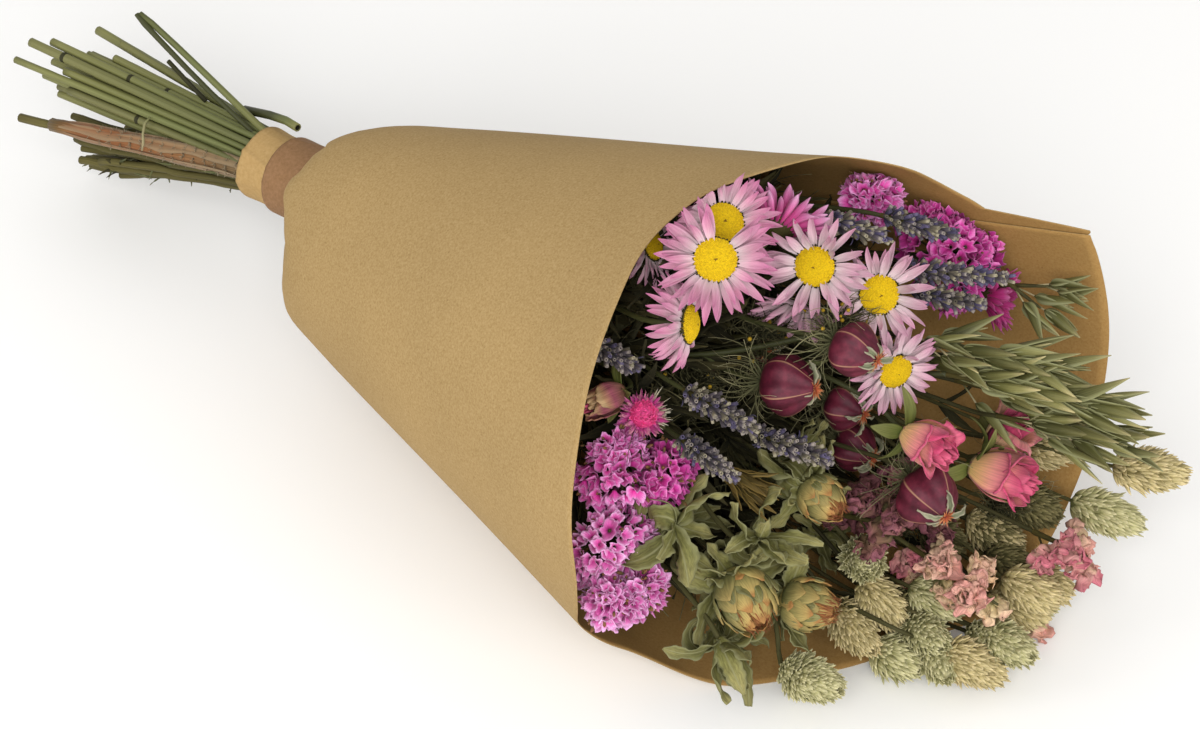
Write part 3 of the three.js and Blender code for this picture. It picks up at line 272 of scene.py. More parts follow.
# Dried plants, in families: what the family shares, then each one's colours from base to tip and
# what is its own
dried = [
    # Papery petals of a strawflower daisy: white at the base, mauve-pink to the tip, finely veined
    ({"roughness": 0.6, "streaks": 11, "streakDepth": 0.22, "toneSpread": 0.13, "gloss": 0.25, "sheen": 0.1},
     {
        "daisyPetal": ([(0, "#d5c9c7"), (0.22, "#d0bbbe"), (0.55, "#c9a6b0"), (1, "#ba8199")], {}),
        "daisyRose": ([(0, "#d3c6c6"), (0.25, "#cdb0b7"), (0.6, "#c68fa4"), (1, "#b66c8f")], {}),
        "daisyHot": ([(0, "#a82b6d"), (0.35, "#bc4381"), (0.7, "#c46b9b"), (1, "#c28fae")],
                     {"streakDepth": 0.28, "toneSpread": 0.18}),
        # deep magenta, its own colour darkened further as painted shade
        "daisyDeep": ([(0, "#85124f"), (0.4, "#ad1e6c"), (0.8, "#c03f86"), (1, "#c06598")],
                      {"streakDepth": 0.28, "toneSpread": 0.2}),
    }),
    # Tiny florets packed into a dry yellow disc, so it reads as fine grain
    ({"roughness": 0.8}, {
        "discFloret": ([(0, "#98730a"), (0.4, "#c29d04"), (1, "#d6b40a")],
                       {"streakDepth": 0.12, "toneSpread": 0.1}),
        "discCushion": ([(0, "#775d10"), (0.5, "#ac8906"), (1, "#ac8906")], {"roughness": 0.85}),
        "discHeart": ([(0, "#462f0f"), (1, "#7e5b10")], {"roughness": 0.85}),
        "discScale": ([(0, "#4e4b21"), (1, "#2e2811")], {}),
    }),
    # Magenta pom-pom of short curled petals, and the hair-fine bracts around it
    ({"roughness": 0.65, "toneSpread": 0.22}, {
        "pomPetal": ([(0, "#990d49"), (0.5, "#c01662"), (1, "#d94585")], {"streakDepth": 0.2, "sheen": 0.15}),
        "pomFringe": ([(0, "#b52a78"), (0.5, "#ae4681"), (1, "#a56c78")],
                      {"roughness": 0.75, "toneSpread": 0.35, "drift": 0.3, "streakDepth": 0.3}),
        "paleFluff": ([(0, "#7f7657"), (0.6, "#a39981"), (1, "#b7af9d")],
                      {"roughness": 0.85, "toneSpread": 0.25}),
    }),
    # Crimped papery cups of statice: deep magenta throats and lilac rims
    ({"roughness": 0.7}, {
        "staticeCup": ([(0, "#8a165c"), (0.35, "#ce3496"), (0.7, "#d45ca8"), (1, "#cc8aba")],
                       {"streaks": 9, "streakDepth": 0.3, "toneSpread": 0.25, "drift": 0.15, "sheen": 0.1}),
        "staticeDeep": ([(0, "#821458"), (0.4, "#ba2a84"), (0.75, "#c63e98"), (1, "#cc6eaa")],
                        {"streaks": 9, "streakDepth": 0.3, "toneSpread": 0.25, "drift": 0.15, "sheen": 0.1}),
        "staticePale": ([(0, "#94206c"), (0.35, "#cc4c9e"), (0.7, "#d672b2"), (1, "#d6a0c8")],
                        {"streaks": 9, "streakDepth": 0.25, "toneSpread": 0.2, "drift": 0.15, "sheen": 0.1}),
        "staticeCalyx": ([(0, "#52522a"), (1, "#7e5238")], {"roughness": 0.8}),
    }),
    # Downy ribbed calyx tubes of lavender: blue-grey or beige, with pale rims; the near-black throats are
    # painted shade in the tubes' hollows
    ({"roughness": 0.9}, {
        "lavenderTube": ([(0, "#29232b"), (0.6, "#40383f"), (0.88, "#585055"), (1, "#857c74")],
                         {"toneSpread": 0.38, "drift": 0.12, "streakDepth": 0.3, "sheen": 0.08}),
        "lavenderBeige": ([(0, "#37322c"), (0.6, "#575045"), (0.88, "#706855"), (1, "#918973")],
                          {"toneSpread": 0.3, "drift": 0.12, "streakDepth": 0.3, "sheen": 0.08}),
        "lavenderBlue": ([(0, "#2a2538"), (0.6, "#3b354f"), (1, "#5a526c")],
                         {"toneSpread": 0.25, "streakDepth": 0.3, "sheen": 0.08}),
        "lavenderThroat": ([(0, "#110d17"), (1, "#1f1a25")], {}),
    }),
    # Horns, star and thread bracts of the capsules, dry and matt
    ({"roughness": 0.8}, {
        "podHorn": ([(0, "#6f4a34"), (0.25, "#6c7054"), (1, "#8b8a72")],
                    {"streakDepth": 0.4, "toneSpread": 0.25, "margin": ("#9a937c", 0.6)}),
        "podStar": ([(0, "#933921"), (0.6, "#af6038"), (1, "#b5855a")], {"roughness": 0.75}),
        "podThread": ([(0, "#56583a"), (0.6, "#74714e"), (1, "#938c6b")], {"toneSpread": 0.3}),
    }),
    # Dried rose petals: straw and peach below, deep pink where they roll
    ({"roughness": 0.6, "streakDepth": 0.3}, {
        "rosePetal": ([(0, "#d8b76e"), (0.3, "#e0ab78"), (0.55, "#dc8e82"), (0.8, "#cc627a"), (1, "#b53e62")],
                      {"streaks": 12, "streakDepth": 0.25, "toneSpread": 0.16, "drift": 0.16,
                       "margin": ("#b44866", 0.8), "gloss": 0.3, "sheen": 0.1}),
        "roseHeart": ([(0, "#821c40"), (0.6, "#ac3058"), (1, "#c65472")], {"streaks": 8, "sheen": 0.1}),
        "rosePeach": ([(0, "#d8b66e"), (0.4, "#deb188"), (0.75, "#d8957f"), (1, "#c46478")],
                      {"streaks": 9, "drift": 0.12, "sheen": 0.1}),
        "roseFaded": ([(0, "#937449"), (0.35, "#a06d60"), (0.7, "#995060"), (0.9, "#a87e5f"), (1, "#b1936c")],
                      {"roughness": 0.65, "streaks": 9, "streakDepth": 0.35, "drift": 0.16,
                       "toneSpread": 0.22}),
        "roseSepal": ([(0, "#566028"), (1, "#727140")], {"roughness": 0.7}),
    }),
    # Carthamus heads: leathery tan scales with green patches, and curling spiny leaves
    ({"roughness": 0.75, "toneSpread": 0.3}, {
        "globeScale": ([(0, "#6a6b40"), (0.3, "#827b49"), (0.6, "#9c8c54"), (0.85, "#a78e54"),
                        (1, "#9a6f3e")],
                       {"roughness": 0.7, "streaks": 7, "streakDepth": 0.3, "drift": 0.22,
                        "toneSpread": 0.16}),
        "globeBrush": ([(0, "#a0763f"), (0.6, "#996739"), (1, "#7e462c")], {}),
        "spinyLeaf": ([(0, "#57562d"), (0.5, "#6b693a"), (1, "#878051")],
                      {"streaks": 5, "grain": 6, "streakDepth": 0.4, "margin": ("#7f7e59", 0.62),
                       "midrib": ("#8a8862", 0.13), "gloss": 0.25, "relief": 0.4}),
    }),
    # Larkspur florets, crumpled as they dried: cream, blush and rose with green veins
    ({"roughness": 0.75, "streaks": 9, "streakDepth": 0.35, "toneSpread": 0.2, "drift": 0.25}, {
        "larkspurCream": ([(0, "#827e4b"), (0.2, "#c8b282"), (0.5, "#dcc09a"), (0.8, "#d8ac94"),
                           (1, "#cfac86")], {"toneSpread": 0.18}),
        "larkspurPink": ([(0, "#827a4c"), (0.2, "#c8a088"), (0.55, "#cd928c"), (1, "#b96874")], {}),
        "larkspurBlush": ([(0, "#8a8250"), (0.25, "#cfb08c"), (0.6, "#d8ab96"), (1, "#c98f84")], {}),
        # painted shade: a darkened copy of the larkspur colours, for florets deep among the others
        "larkspurDusk": ([(0, "#564d2f"), (0.3, "#7e5c49"), (0.7, "#865355"), (1, "#7a4952")],
                         {"roughness": 0.8, "streakDepth": 0.4, "toneSpread": 0.3}),
    }),
    # Canary grass: keeled papery scales, pale at the keel and tip, green between
    ({"roughness": 0.85, "streaks": 4, "streakDepth": 0.35, "toneSpread": 0.16}, {
        "grassScale": ([(0, "#62643a"), (0.3, "#908e5a"), (0.65, "#b2ae7e"), (1, "#cdc69c")],
                       {"drift": 0.1, "midrib": ("#c9c190", 0.3)}),
        "grassStraw": ([(0, "#6b5f38"), (0.3, "#978a57"), (0.65, "#b7a876"), (1, "#cebd90")],
                       {"drift": 0.1, "midrib": ("#ccbc8c", 0.3)}),
        # painted shade: a darkened copy of the grass colours, for heads deep in the bunch
        "grassShade": ([(0, "#2f2d17"), (0.5, "#5a5531"), (1, "#837a52")], {"toneSpread": 0.2}),
    }),
    # Oat husks: smooth, green, fine-veined, drying pale at the margins and tips
    ({"roughness": 0.5}, {
        "oatHusk": ([(0, "#474824"), (0.4, "#5e5d32"), (0.75, "#7b7747"), (1, "#ab9e70")],
                    {"streaks": 14, "grain": 0.7, "streakDepth": 0.38, "toneSpread": 0.28,
                     "margin": ("#8a8a60", 0.72), "gloss": 0.35}),
        "oatAwn": ([(0, "#6c6e44"), (1, "#a09371")], {"roughness": 0.7}),
    }),
    # Leaves, threads and bracts dried olive to gold
    ({"roughness": 0.85, "toneSpread": 0.3}, {
        "driedLeaf": ([(0, "#484c2c"), (0.6, "#565b36"), (1, "#6b6a43")],
                      {"roughness": 0.75, "streaks": 4, "grain": 5, "streakDepth": 0.35,
                       "midrib": ("#7f7e57", 0.14), "relief": 0.3}),
        # painted shade: near-black leaves that fill the dark gaps among the stems
        "shadeLeaf": ([(0, "#22200e"), (0.5, "#2c2914"), (1, "#3e391f")],
                      {"streaks": 4, "grain": 5, "streakDepth": 0.4, "toneSpread": 0.4}),
        # olive threads darkened toward black, partly their own colour and partly painted shade among the
        # stems
        "mossThread": ([(0, "#2c2a16"), (0.6, "#45432a"), (1, "#656142")], {"toneSpread": 0.4}),
        "mossBud": ([(0, "#796217"), (1, "#b49124")], {"roughness": 0.8, "toneSpread": 0.25}),
        "goldBract": ([(0, "#353017"), (0.5, "#4f431f"), (1, "#6e5a2d")],
                      {"roughness": 0.65, "streaks": 5, "streakDepth": 0.35, "margin": ("#866e35", 0.6)}),
    }),
    # Stems: smooth hollow reeds, pink-brown woolly sheaths and thin dark twigs. The reeds and the sheathed
    # stem darken toward their heads, where they lie inside the paper: that darkening is painted shade
    ({"roughness": 0.9}, {
        "reedStem": ([(0, "#7c7a49"), (0.1, "#6f6f40"), (0.3, "#5f6338"), (0.45, "#575a32"), (0.6, "#3c3e20"),
                      (1, "#3e4023")], {"roughness": 0.5, "streaks": 7, "grain": 2, "streakDepth": 0.28,
                                        "toneSpread": 0.3, "drift": 0.1, "gloss": 0.35}),
        "stemJoint": ([(0, "#353519"), (1, "#2a2815")], {"roughness": 0.7}),
        "sheathStem": ([(0, "#6a6132"), (0.09, "#6f5f35"), (0.13, "#8c5f40"), (0.3, "#875f3e"),
                        (0.5, "#615933"), (1, "#4e4c2b")],
                       {"roughness": 0.65, "streaks": 7, "grain": 3, "streakDepth": 0.4, "toneSpread": 0.2}),
        "twigStem": ([(0, "#5a5329"), (0.3, "#494320"), (0.6, "#3a361a"), (1, "#484525")],
                     {"roughness": 0.75, "streaks": 5, "grain": 9, "streakDepth": 0.45, "toneSpread": 0.35}),
        # painted shade: the near-black inside of a cut hollow reed
        "stemPith": ([(0, "#1a190c"), (1, "#444224")], {}),
        "woollySheath": ([(0, "#6c5631"), (0.15, "#98613b"), (0.6, "#8c6039"), (1, "#776748")],
                         {"streaks": 9, "grain": 5, "streakDepth": 0.4, "toneSpread": 0.2,
                          "margin": ("#8a765a", 0.6), "sheen": 0.1}),
        "sheathWool": ([(0, "#7d7158"), (1, "#978a72")], {"roughness": 0.95, "toneSpread": 0.25}),
    }),
]
for shared, members in dried:
    for name, (stops, own) in members.items():
        materials[name] = driedMaterial(name, stops, {**shared, **own})
print("stage: materials made")


def newSkin():
    return {"count": 0, "points": [], "faces": [], "slots": [], "along": [], "side": [], "tone": [],
            "names": []}


def slotOf(skin, name):
    if name not in skin["names"]:
        skin["names"].append(name)
    return skin["names"].index(name)


# Adds copies of one part: points is copies x points x 3, and every copy has its own tone
def grow(skin, points, part, name, tone=0.5):
    copies, size = points.shape[:2]
    shift = (np.arange(copies) * size + skin["count"])[:, None, None]
    index = slotOf(skin, name)
    for faces in part["faces"]:
        if len(faces):
            skin["faces"].append((faces[None] + shift).reshape(-1, faces.shape[1]))
            skin["slots"].append(np.full(len(faces) * copies, index))
    skin["points"].append(points.reshape(-1, 3))
    skin["along"].append(np.tile(part["along"], copies))
    skin["side"].append(np.tile(part["side"], copies))
    skin["tone"].append(np.repeat(np.broadcast_to(tone, copies), size))
    skin["count"] += copies * size


def buildObject(name, skin, place):
    points = place(np.concatenate(skin["points"]))
    mesh = bpy.data.meshes.new(name)
    mesh.vertices.add(len(points))
    mesh.vertices.foreach_set("co", points.astype(np.float32).ravel())
    sizes = np.concatenate([np.full(len(faces), faces.shape[1]) for faces in skin["faces"]])
    corners = np.concatenate([faces.ravel() for faces in skin["faces"]])
    mesh.loops.add(len(corners))
    mesh.polygons.add(len(sizes))
    mesh.polygons.foreach_set("loop_start", np.concatenate([[0], np.cumsum(sizes)[:-1]]).astype(np.int32))
    mesh.loops.foreach_set("vertex_index", corners.astype(np.int32))
    mesh.update(calc_edges=True)
    mesh.polygons.foreach_set("material_index", np.concatenate(skin["slots"]).astype(np.int32))
    mesh.polygons.foreach_set("use_smooth", np.ones(len(sizes), bool))
    for key in ("along", "side", "tone"):
        layer = mesh.attributes.new(key, "FLOAT", "POINT")
        layer.data.foreach_set("value", np.concatenate(skin[key]).astype(np.float32))
    for used in skin["names"]:
        mesh.materials.append(materials[used])
    mesh.validate()
    piece = bpy.data.objects.new(name, mesh)
    bpy.context.scene.collection.objects.link(piece)
    return piece


def gridFaces(rows, columns, closes):
    spans = columns if closes else columns - 1
    row, column = np.meshgrid(np.arange(rows - 1), np.arange(spans), indexing="ij")
    first = row * columns + column
    second = row * columns + (column + 1) % columns
    return np.stack((first, second, second + columns, first + columns), -1).reshape(-1, 4)


partCache = {}


# Topology of a thin closed shell over a grid: front, back and the rims that join them
def shellPart(rows, columns, closes=False):
    key = (rows, columns, closes)
    if key not in partCache:
        size = rows * columns
        front = gridFaces(rows, columns, closes)
        faces = [front, front[:, ::-1] + size]
        spans = columns if closes else columns - 1
        c = np.arange(spans)
        d = (c + 1) % columns
        last = (rows - 1) * columns
        faces.append(np.stack((d, c, c + size, d + size), -1))
        faces.append(np.stack((c + last, d + last, d + last + size, c + last + size), -1))
        if not closes:
            r = np.arange(rows - 1) * columns
            e = r + columns - 1
            faces.append(np.stack((r, r + columns, r + columns + size, r + size), -1))
            faces.append(np.stack((e + columns, e, e + size, e + columns + size), -1))
        along = np.repeat(np.linspace(0, 1, rows), columns)
        side = np.tile(np.linspace(-1, 1, columns), rows)
        if closes:
            side = np.tile(np.sin(np.linspace(0, fullTurn, columns, endpoint=False) * 2), rows)
        partCache[key] = {"faces": faces, "along": np.tile(along, 2), "side": np.tile(side, 2)}
    return partCache[key]


# Points of the shell: the grid set off half a thickness to each side (n x rows x columns x 3)
def shellPoints(grids, thickness, closes=False):
    downRow = np.gradient(grids, axis=1)
    if closes:
        across = np.roll(grids, -1, axis=2) - np.roll(grids, 1, axis=2)
    else:
        across = np.gradient(grids, axis=2)
    normal = unit(np.cross(downRow, across))
    half = normal * thickness / 2
    copies = len(grids)
    return np.concatenate(((grids - half).reshape(copies, -1, 3), (grids + half).reshape(copies, -1, 3)),
                          axis=1)


outlines = {
    "petal": lambda t: 0.3 + 0.7 * np.sin(math.pi * np.clip(t, 0, 1) ** 0.85 * 0.62) ** 1.2,
    "lance": lambda t: np.sin(math.pi * np.clip(t * 0.94 + 0.04, 0, 1) ** 0.8) ** 0.9,
    "oval": lambda t: np.sin(math.pi * np.clip(t * 0.92 + 0.05, 0, 1) ** 0.9) ** 0.6,
    "ray": lambda t: ((0.42 + 0.58 * np.sin(math.pi / 2 * np.clip(t / 0.5, 0, 1)))
                      * (1 - np.clip(t * 2 - 1, 0, 1) ** 2.2) ** 0.8),
    "scale": lambda t: (0.8 + 0.2 * np.sin(math.pi * t)) * (1 - np.clip(t, 0, 1) ** 2.2) ** 0.8,
    "husk": lambda t: np.sin(math.pi * np.clip(t, 0, 1) ** 0.55) ** 0.8,
}


def outlineAt(kind, t):
    share = outlines[kind](t)
    if kind == "petal":
        share = share * (1 - smoothStep(t, 0.72, 1.0) ** 1.3)
    return np.maximum(share, 0.05)


# Petals, leaves, scales and husks. Each leaves the head's axis at an angle (open), bends by curl
# more degrees on the way to its tip, is cupped across, twisted, and waved along its edges.
def blades(skin, name, rng, count, turn, length, width, open, root=0, height=0, curl=0, cup=0, twist=0,
           wave=0, waves=3, teeth=0, outline="petal", rows=8, columns=5, thickness=0.14, tone=None,
           place=None, ruffle=0):
    def column(value):
        return np.broadcast_to(np.asarray(value, float), (count,)).reshape(count, 1, 1)
    t = np.linspace(0, 1, rows)[None, :, None]
    s = np.linspace(-1, 1, columns)[None, None, :]
    turn, length, width, open, root = (column(value) for value in (turn, length, width, open, root))
    height, curl, cup, twist, wave = (column(value) for value in (height, curl, cup, twist, wave))
    fine = np.linspace(0, 1, 4 * (rows - 1) + 1)[None, :, None]
    bend = np.radians(open + curl * fine)
    step = length / (4 * (rows - 1))
    out = np.cumsum(np.sin(bend), axis=1) - np.sin(bend) / 2 - np.sin(bend[:, :1]) / 2
    up = np.cumsum(np.cos(bend), axis=1) - np.cos(bend) / 2 - np.cos(bend[:, :1]) / 2
    out = root + (out * step)[:, ::4]
    up = height + (up * step)[:, ::4]
    angle = np.radians(open + curl * t)
    spin = np.radians(twist) * t
    half = width / 2 * outlineAt(outline, t)
    if teeth:
        half = half * (1 + 0.22 * (np.abs(((t * teeth) % 1) - 0.5) * 2 - 0.5))
    phase = rng.uniform(0, fullTurn, (count, 1, 1))
    other = rng.uniform(0, fullTurn, (count, 1, 1))
    lift = cup * width * 0.5 * s ** 2 * outlineAt(outline, t)
    lift = lift + wave * s * np.abs(s) * np.sin(fullTurn * waves * t + phase) * np.minimum(1, t * 3)
    lift = lift + ruffle * np.sin(fullTurn * 1.7 * t + other + 2.1 * s) * t
    acrossY = np.cos(spin) * half * s - np.sin(spin) * lift
    acrossN = np.sin(spin) * half * s + np.cos(spin) * lift
    x = out - np.cos(angle) * acrossN
    z = up + np.sin(angle) * acrossN
    y = acrossY
    grids = np.stack((np.cos(turn) * x - np.sin(turn) * y, np.sin(turn) * x + np.cos(turn) * y,
                      z + 0 * x), axis=-1)
    if place is not None:
        grids = place(grids)
    tone = rng.uniform(0, 1, count) if tone is None else tone
    grow(skin, shellPoints(grids, thickness), shellPart(rows, columns), name, tone)


def spiral(count, start=0.0):
    return (np.arange(count) + start) * math.pi * (3 - math.sqrt(5))


def around(turn, radius, height):
    return np.stack(np.broadcast_arrays(radius * np.cos(turn), radius * np.sin(turn), height), -1)


# Sets points made along +Z at a spot, with their axes turned to the three given
def setAt(points, spot, side, over, out):
    return spot + points[..., :1] * side + points[..., 1:2] * over + points[..., 2:] * out


# Frames along a path: points, and two directions square to it that turn as little as they can
def pathFrames(path):
    path = np.asarray(path, float)
    along = unit(np.gradient(path, axis=0))
    sides = np.empty_like(path)
    start = np.cross(along[0], (0.1, 0.2, 1))
    if np.linalg.norm(start) < 0.2:
        start = np.cross(along[0], (1, 0.1, 0))
    sides[0] = unit(start)
    for k in range(1, len(path)):
        carried = sides[k - 1] - along[k] * np.dot(along[k], sides[k - 1])
        sides[k] = unit(carried)
    return path, along, sides, np.cross(along, sides)


# Topology of a stack of rings closed at both ends, with a middle point for each end
def ringPart(marks, side, ends=0):
    count, sides = len(marks), len(side)
    k = np.arange(sides)
    j = (k + 1) % sides
    last = (count - 1) * sides
    middle = np.full(sides, count * sides)
    caps = np.stack((j, k, middle), -1), np.stack((k + last, j + last, middle + 1), -1)
    return {"faces": [gridFaces(count, sides, True), *caps],
            "along": np.concatenate((np.repeat(marks, sides), [0, 1])),
            "side": np.concatenate((np.tile(side, count), [ends, ends]))}


# A closed round stem or thread along a path; a hollow one has a cut end that opens into it
def tube(skin, name, path, radii, sides=7, tone=0.5, hollow=0, pith=None):
    path, along, side, over = pathFrames(path)
    radii = np.broadcast_to(np.asarray(radii, float), (len(path),))
    spin = np.linspace(0, fullTurn, sides, endpoint=False)
    rings = setAt(around(spin, radii[:, None], 0), path[:, None], side[:, None], over[:, None], 0)
    marks = np.linspace(0, 1, len(path))
    if hollow:
        wall = path[0] + (rings[0] - path[0]) * 0.66
        rings = np.concatenate(((wall + along[0] * hollow)[None], wall[None], rings))
        marks = np.concatenate(([0, 0], marks))
    points = np.concatenate((rings.reshape(-1, 3), [rings[0].mean(0)], [rings[-1].mean(0)]))
    grow(skin, points[None], ringPart(marks, np.sin(spin)), name, tone)
    if hollow and pith:     # the inside of a cut reed, painted dark as the shade in its hollow
        inner = slotOf(skin, pith)
        skin["slots"][-3][:sides] = inner
        skin["slots"][-2][:] = inner


# A turned solid, rings of (radius, height) closed at both ends; ribs raise every second line
def lathePart(profile, sides, ribs=0.0):
    spin = np.linspace(0, fullTurn, sides, endpoint=False)
    rings = []
    for radius, height in profile:
        reach = radius * (1 + ribs * np.where(np.arange(sides) % 2, 1, -1))
        rings.append(around(spin, reach, height))
    points = np.concatenate((*rings, [[0, 0, profile[0][1]], [0, 0, profile[-1][1]]]))
    return points, ringPart(np.linspace(0, 1, len(rings)), np.sin(spin))


def growLathe(skin, name, profile, sides, tone=0.5):
    points, part = lathePart(profile, sides)
    grow(skin, points[None], part, name, tone)


# Two directions square to each of the given ones
def sideAxes(directions):
    helper = np.where(np.abs(directions[:, 2:]) < 0.9, np.array([[0, 0, 1.0]]), np.array([[1.0, 0, 0]]))
    side = unit(np.cross(helper, directions))
    return side, np.cross(directions, side)


# Copies of a part made along +Z, set at places with their own directions and sizes
def stamp(skin, name, points, part, places, directions, sizes, rng, tone=None):
    directions = unit(np.asarray(directions, float))
    count = len(directions)
    side, over = sideAxes(directions)
    sizes = np.broadcast_to(np.asarray(sizes, float).reshape(-1, 1) if np.ndim(sizes) < 2 else sizes,
                            (count, 3))
    copies = setAt(points[None] * sizes[:, None], places[:, None], side[:, None], over[:, None],
                   directions[:, None])
    tone = rng.uniform(0, 1, count) if tone is None else tone
    grow(skin, copies, part, name, tone)


# Each head is grown by one function, with what a user may change in the dictionary above it
daisyLook = {
    # petals in a row, degrees open, share of the full length
    "rows": ((20, 93, 1.0), (19, 80, 0.97), (13, 64, 0.8)),
    "petalWidth": 2.6, "discShare": 0.35, "florets": 700, "scales": 84,
}


def daisy(skin, size, rng, style):
    disc = size * daisyLook["discShare"]
    petal = style.get("petal", "daisyPetal")
    cup = [(1.2, -0.6), (1.6, 0.3), (3.0, 1.6), (disc * 0.8, 3.8), (disc * 0.93, 5.0), (disc * 0.5, 5.6)]
    growLathe(skin, "discScale", cup, 20)
    dome = 1.9 * style.get("dome", 1)
    rim = [(disc * 0.6, 4.6), (disc * 0.96, 5.2), (disc * 0.98, 6.0)]
    crown = [(disc * share, 6.0 + dome * (1 - share ** 2.4)) for share in (0.94, 0.8, 0.6, 0.4, 0.2, 0.06)]
    growLathe(skin, "discCushion", rim + crown, 28)
    florets = daisyLook["florets"]
    share = np.sqrt((np.arange(florets) + 0.5) / florets)
    turn = spiral(florets)
    seat = around(turn, disc * 0.94 * share, 6.0 + dome * (1 - share ** 2.4) - 0.12)
    seat = seat + rng.normal(0, 0.04, seat.shape)
    lean = around(turn, share ** 3, 1.0)
    points, part = lathePart([(0.46, 0), (0.5, 0.24), (0.36, 0.48), (0.14, 0.56)], 5)
    heart = share < 0.07
    for chosen, name in ((~heart, "discFloret"), (heart, "discHeart")):
        sizes = rng.uniform(0.6, 0.8, chosen.sum()) * disc / 6.5
        stamp(skin, name, points, part, seat[chosen], lean[chosen], sizes, rng)
    count = daisyLook["scales"]
    blades(skin, "discScale", rng, count,
           turn=np.arange(count) * fullTurn / count + rng.uniform(-0.08, 0.08, count),
           length=rng.uniform(0.7, 1.2, count), width=0.7, open=rng.uniform(20, 60, count), curl=-20,
           root=disc * 0.97, height=5.3, rows=4, columns=3, outline="lance", thickness=0.2)
    reach = size - disc * 0.8
    cleared = []
    for direction, spread in style.get("clear", ()):      # petals that fell where a neighbour presses
        local = style["axes"] @ np.array(direction, float)
        cleared.append((math.atan2(local[1], local[0]), math.radians(spread)))
    for row, (number, open, share) in enumerate(daisyLook["rows"]):
        number = int(number * style.get("count", 1))
        turn = (np.arange(number) + 0.37 * row + rng.uniform(-0.28, 0.28, number)) * fullTurn / number
        for centre, spread in cleared:
            away = np.abs((turn - centre + math.pi) % fullTurn - math.pi)
            turn = turn[away > spread]
        number = len(turn)
        opening = style.get("opening", 0) + open + rng.normal(0, 8, number)
        length = reach * share * rng.uniform(0.82, 1.06, number)
        wide = daisyLook["petalWidth"] * style.get("wide", 1) * size / 19
        width = wide * rng.uniform(0.75, 1.15, number)
        blades(skin, petal, rng, number, turn=turn, length=length, width=width, open=opening,
               curl=style.get("curl", -10) + rng.normal(0, 16, number), root=disc * 0.78,
               height=3.9 + row * 0.55, cup=rng.uniform(0.25, 1.5, number), twist=rng.normal(0, 26, number),
               wave=0.16, waves=2, outline="ray", rows=12, columns=5, thickness=0.12)


pomLook = {"radius": 5.2, "petals": 210, "fringe": 190, "fluff": 34}


def everlasting(skin, size, rng, style):
    radius = pomLook["radius"]
    body = [(1.2, -0.5), (2.6, 1.0), (4.2, 2.6), (radius * 0.85, 4.6), (radius * 0.5, 6.4), (0.6, 7.2)]
    growLathe(skin, "pomPetal", body, 18, 0.2)
    count = pomLook["petals"]
    share = (np.arange(count) + 0.5) / count
    lean = np.degrees(np.arccos(1 - share * 1.05))
    tilt = np.radians(lean)
    blades(skin, "pomPetal", rng, count, turn=spiral(count) + rng.normal(0, 0.15, count),
           length=rng.uniform(2.2, 3.8, count), width=rng.uniform(1.0, 1.8, count),
           open=lean * 0.85 + rng.normal(0, 10, count), curl=rng.uniform(-120, -20, count),
           root=(radius - 2.8) * np.sin(tilt), height=2.6 + (radius - 2.4) * np.cos(tilt), cup=0.9,
           twist=rng.normal(0, 35, count), rows=7, columns=4, thickness=0.12)
    count = pomLook["fringe"]
    blades(skin, "pomFringe", rng, count, turn=spiral(count, 0.3) + rng.normal(0, 0.2, count),
           length=rng.uniform(1.8, 4.8, count) * size / 13, width=rng.uniform(0.6, 1.6, count),
           open=rng.uniform(52, 120, count), curl=rng.normal(0, 45, count), root=rng.uniform(2.8, 4.6, count),
           height=rng.uniform(1.4, 4.4, count), outline="lance", twist=rng.normal(0, 40, count), wave=0.15,
           rows=6, columns=3, thickness=0.08)
    count = pomLook["fluff"]
    blades(skin, "paleFluff", rng, count, turn=rng.normal(0.5, 0.5, count), length=rng.uniform(3, 7.5, count),
           width=rng.uniform(0.2, 0.7, count), open=rng.uniform(60, 110, count),
           curl=rng.normal(0, 50, count), root=3.6, height=rng.uniform(1, 4, count), outline="lance",
           twist=rng.normal(0, 50, count), rows=6, columns=3, thickness=0.08)


staticeLook = {"cups": 96, "spread": 1.15, "rim": 2.6, "depth": 4.4, "ruffle": 0.12, "clumps": 9,
               "clumped": 0.24, "calyxes": 46}


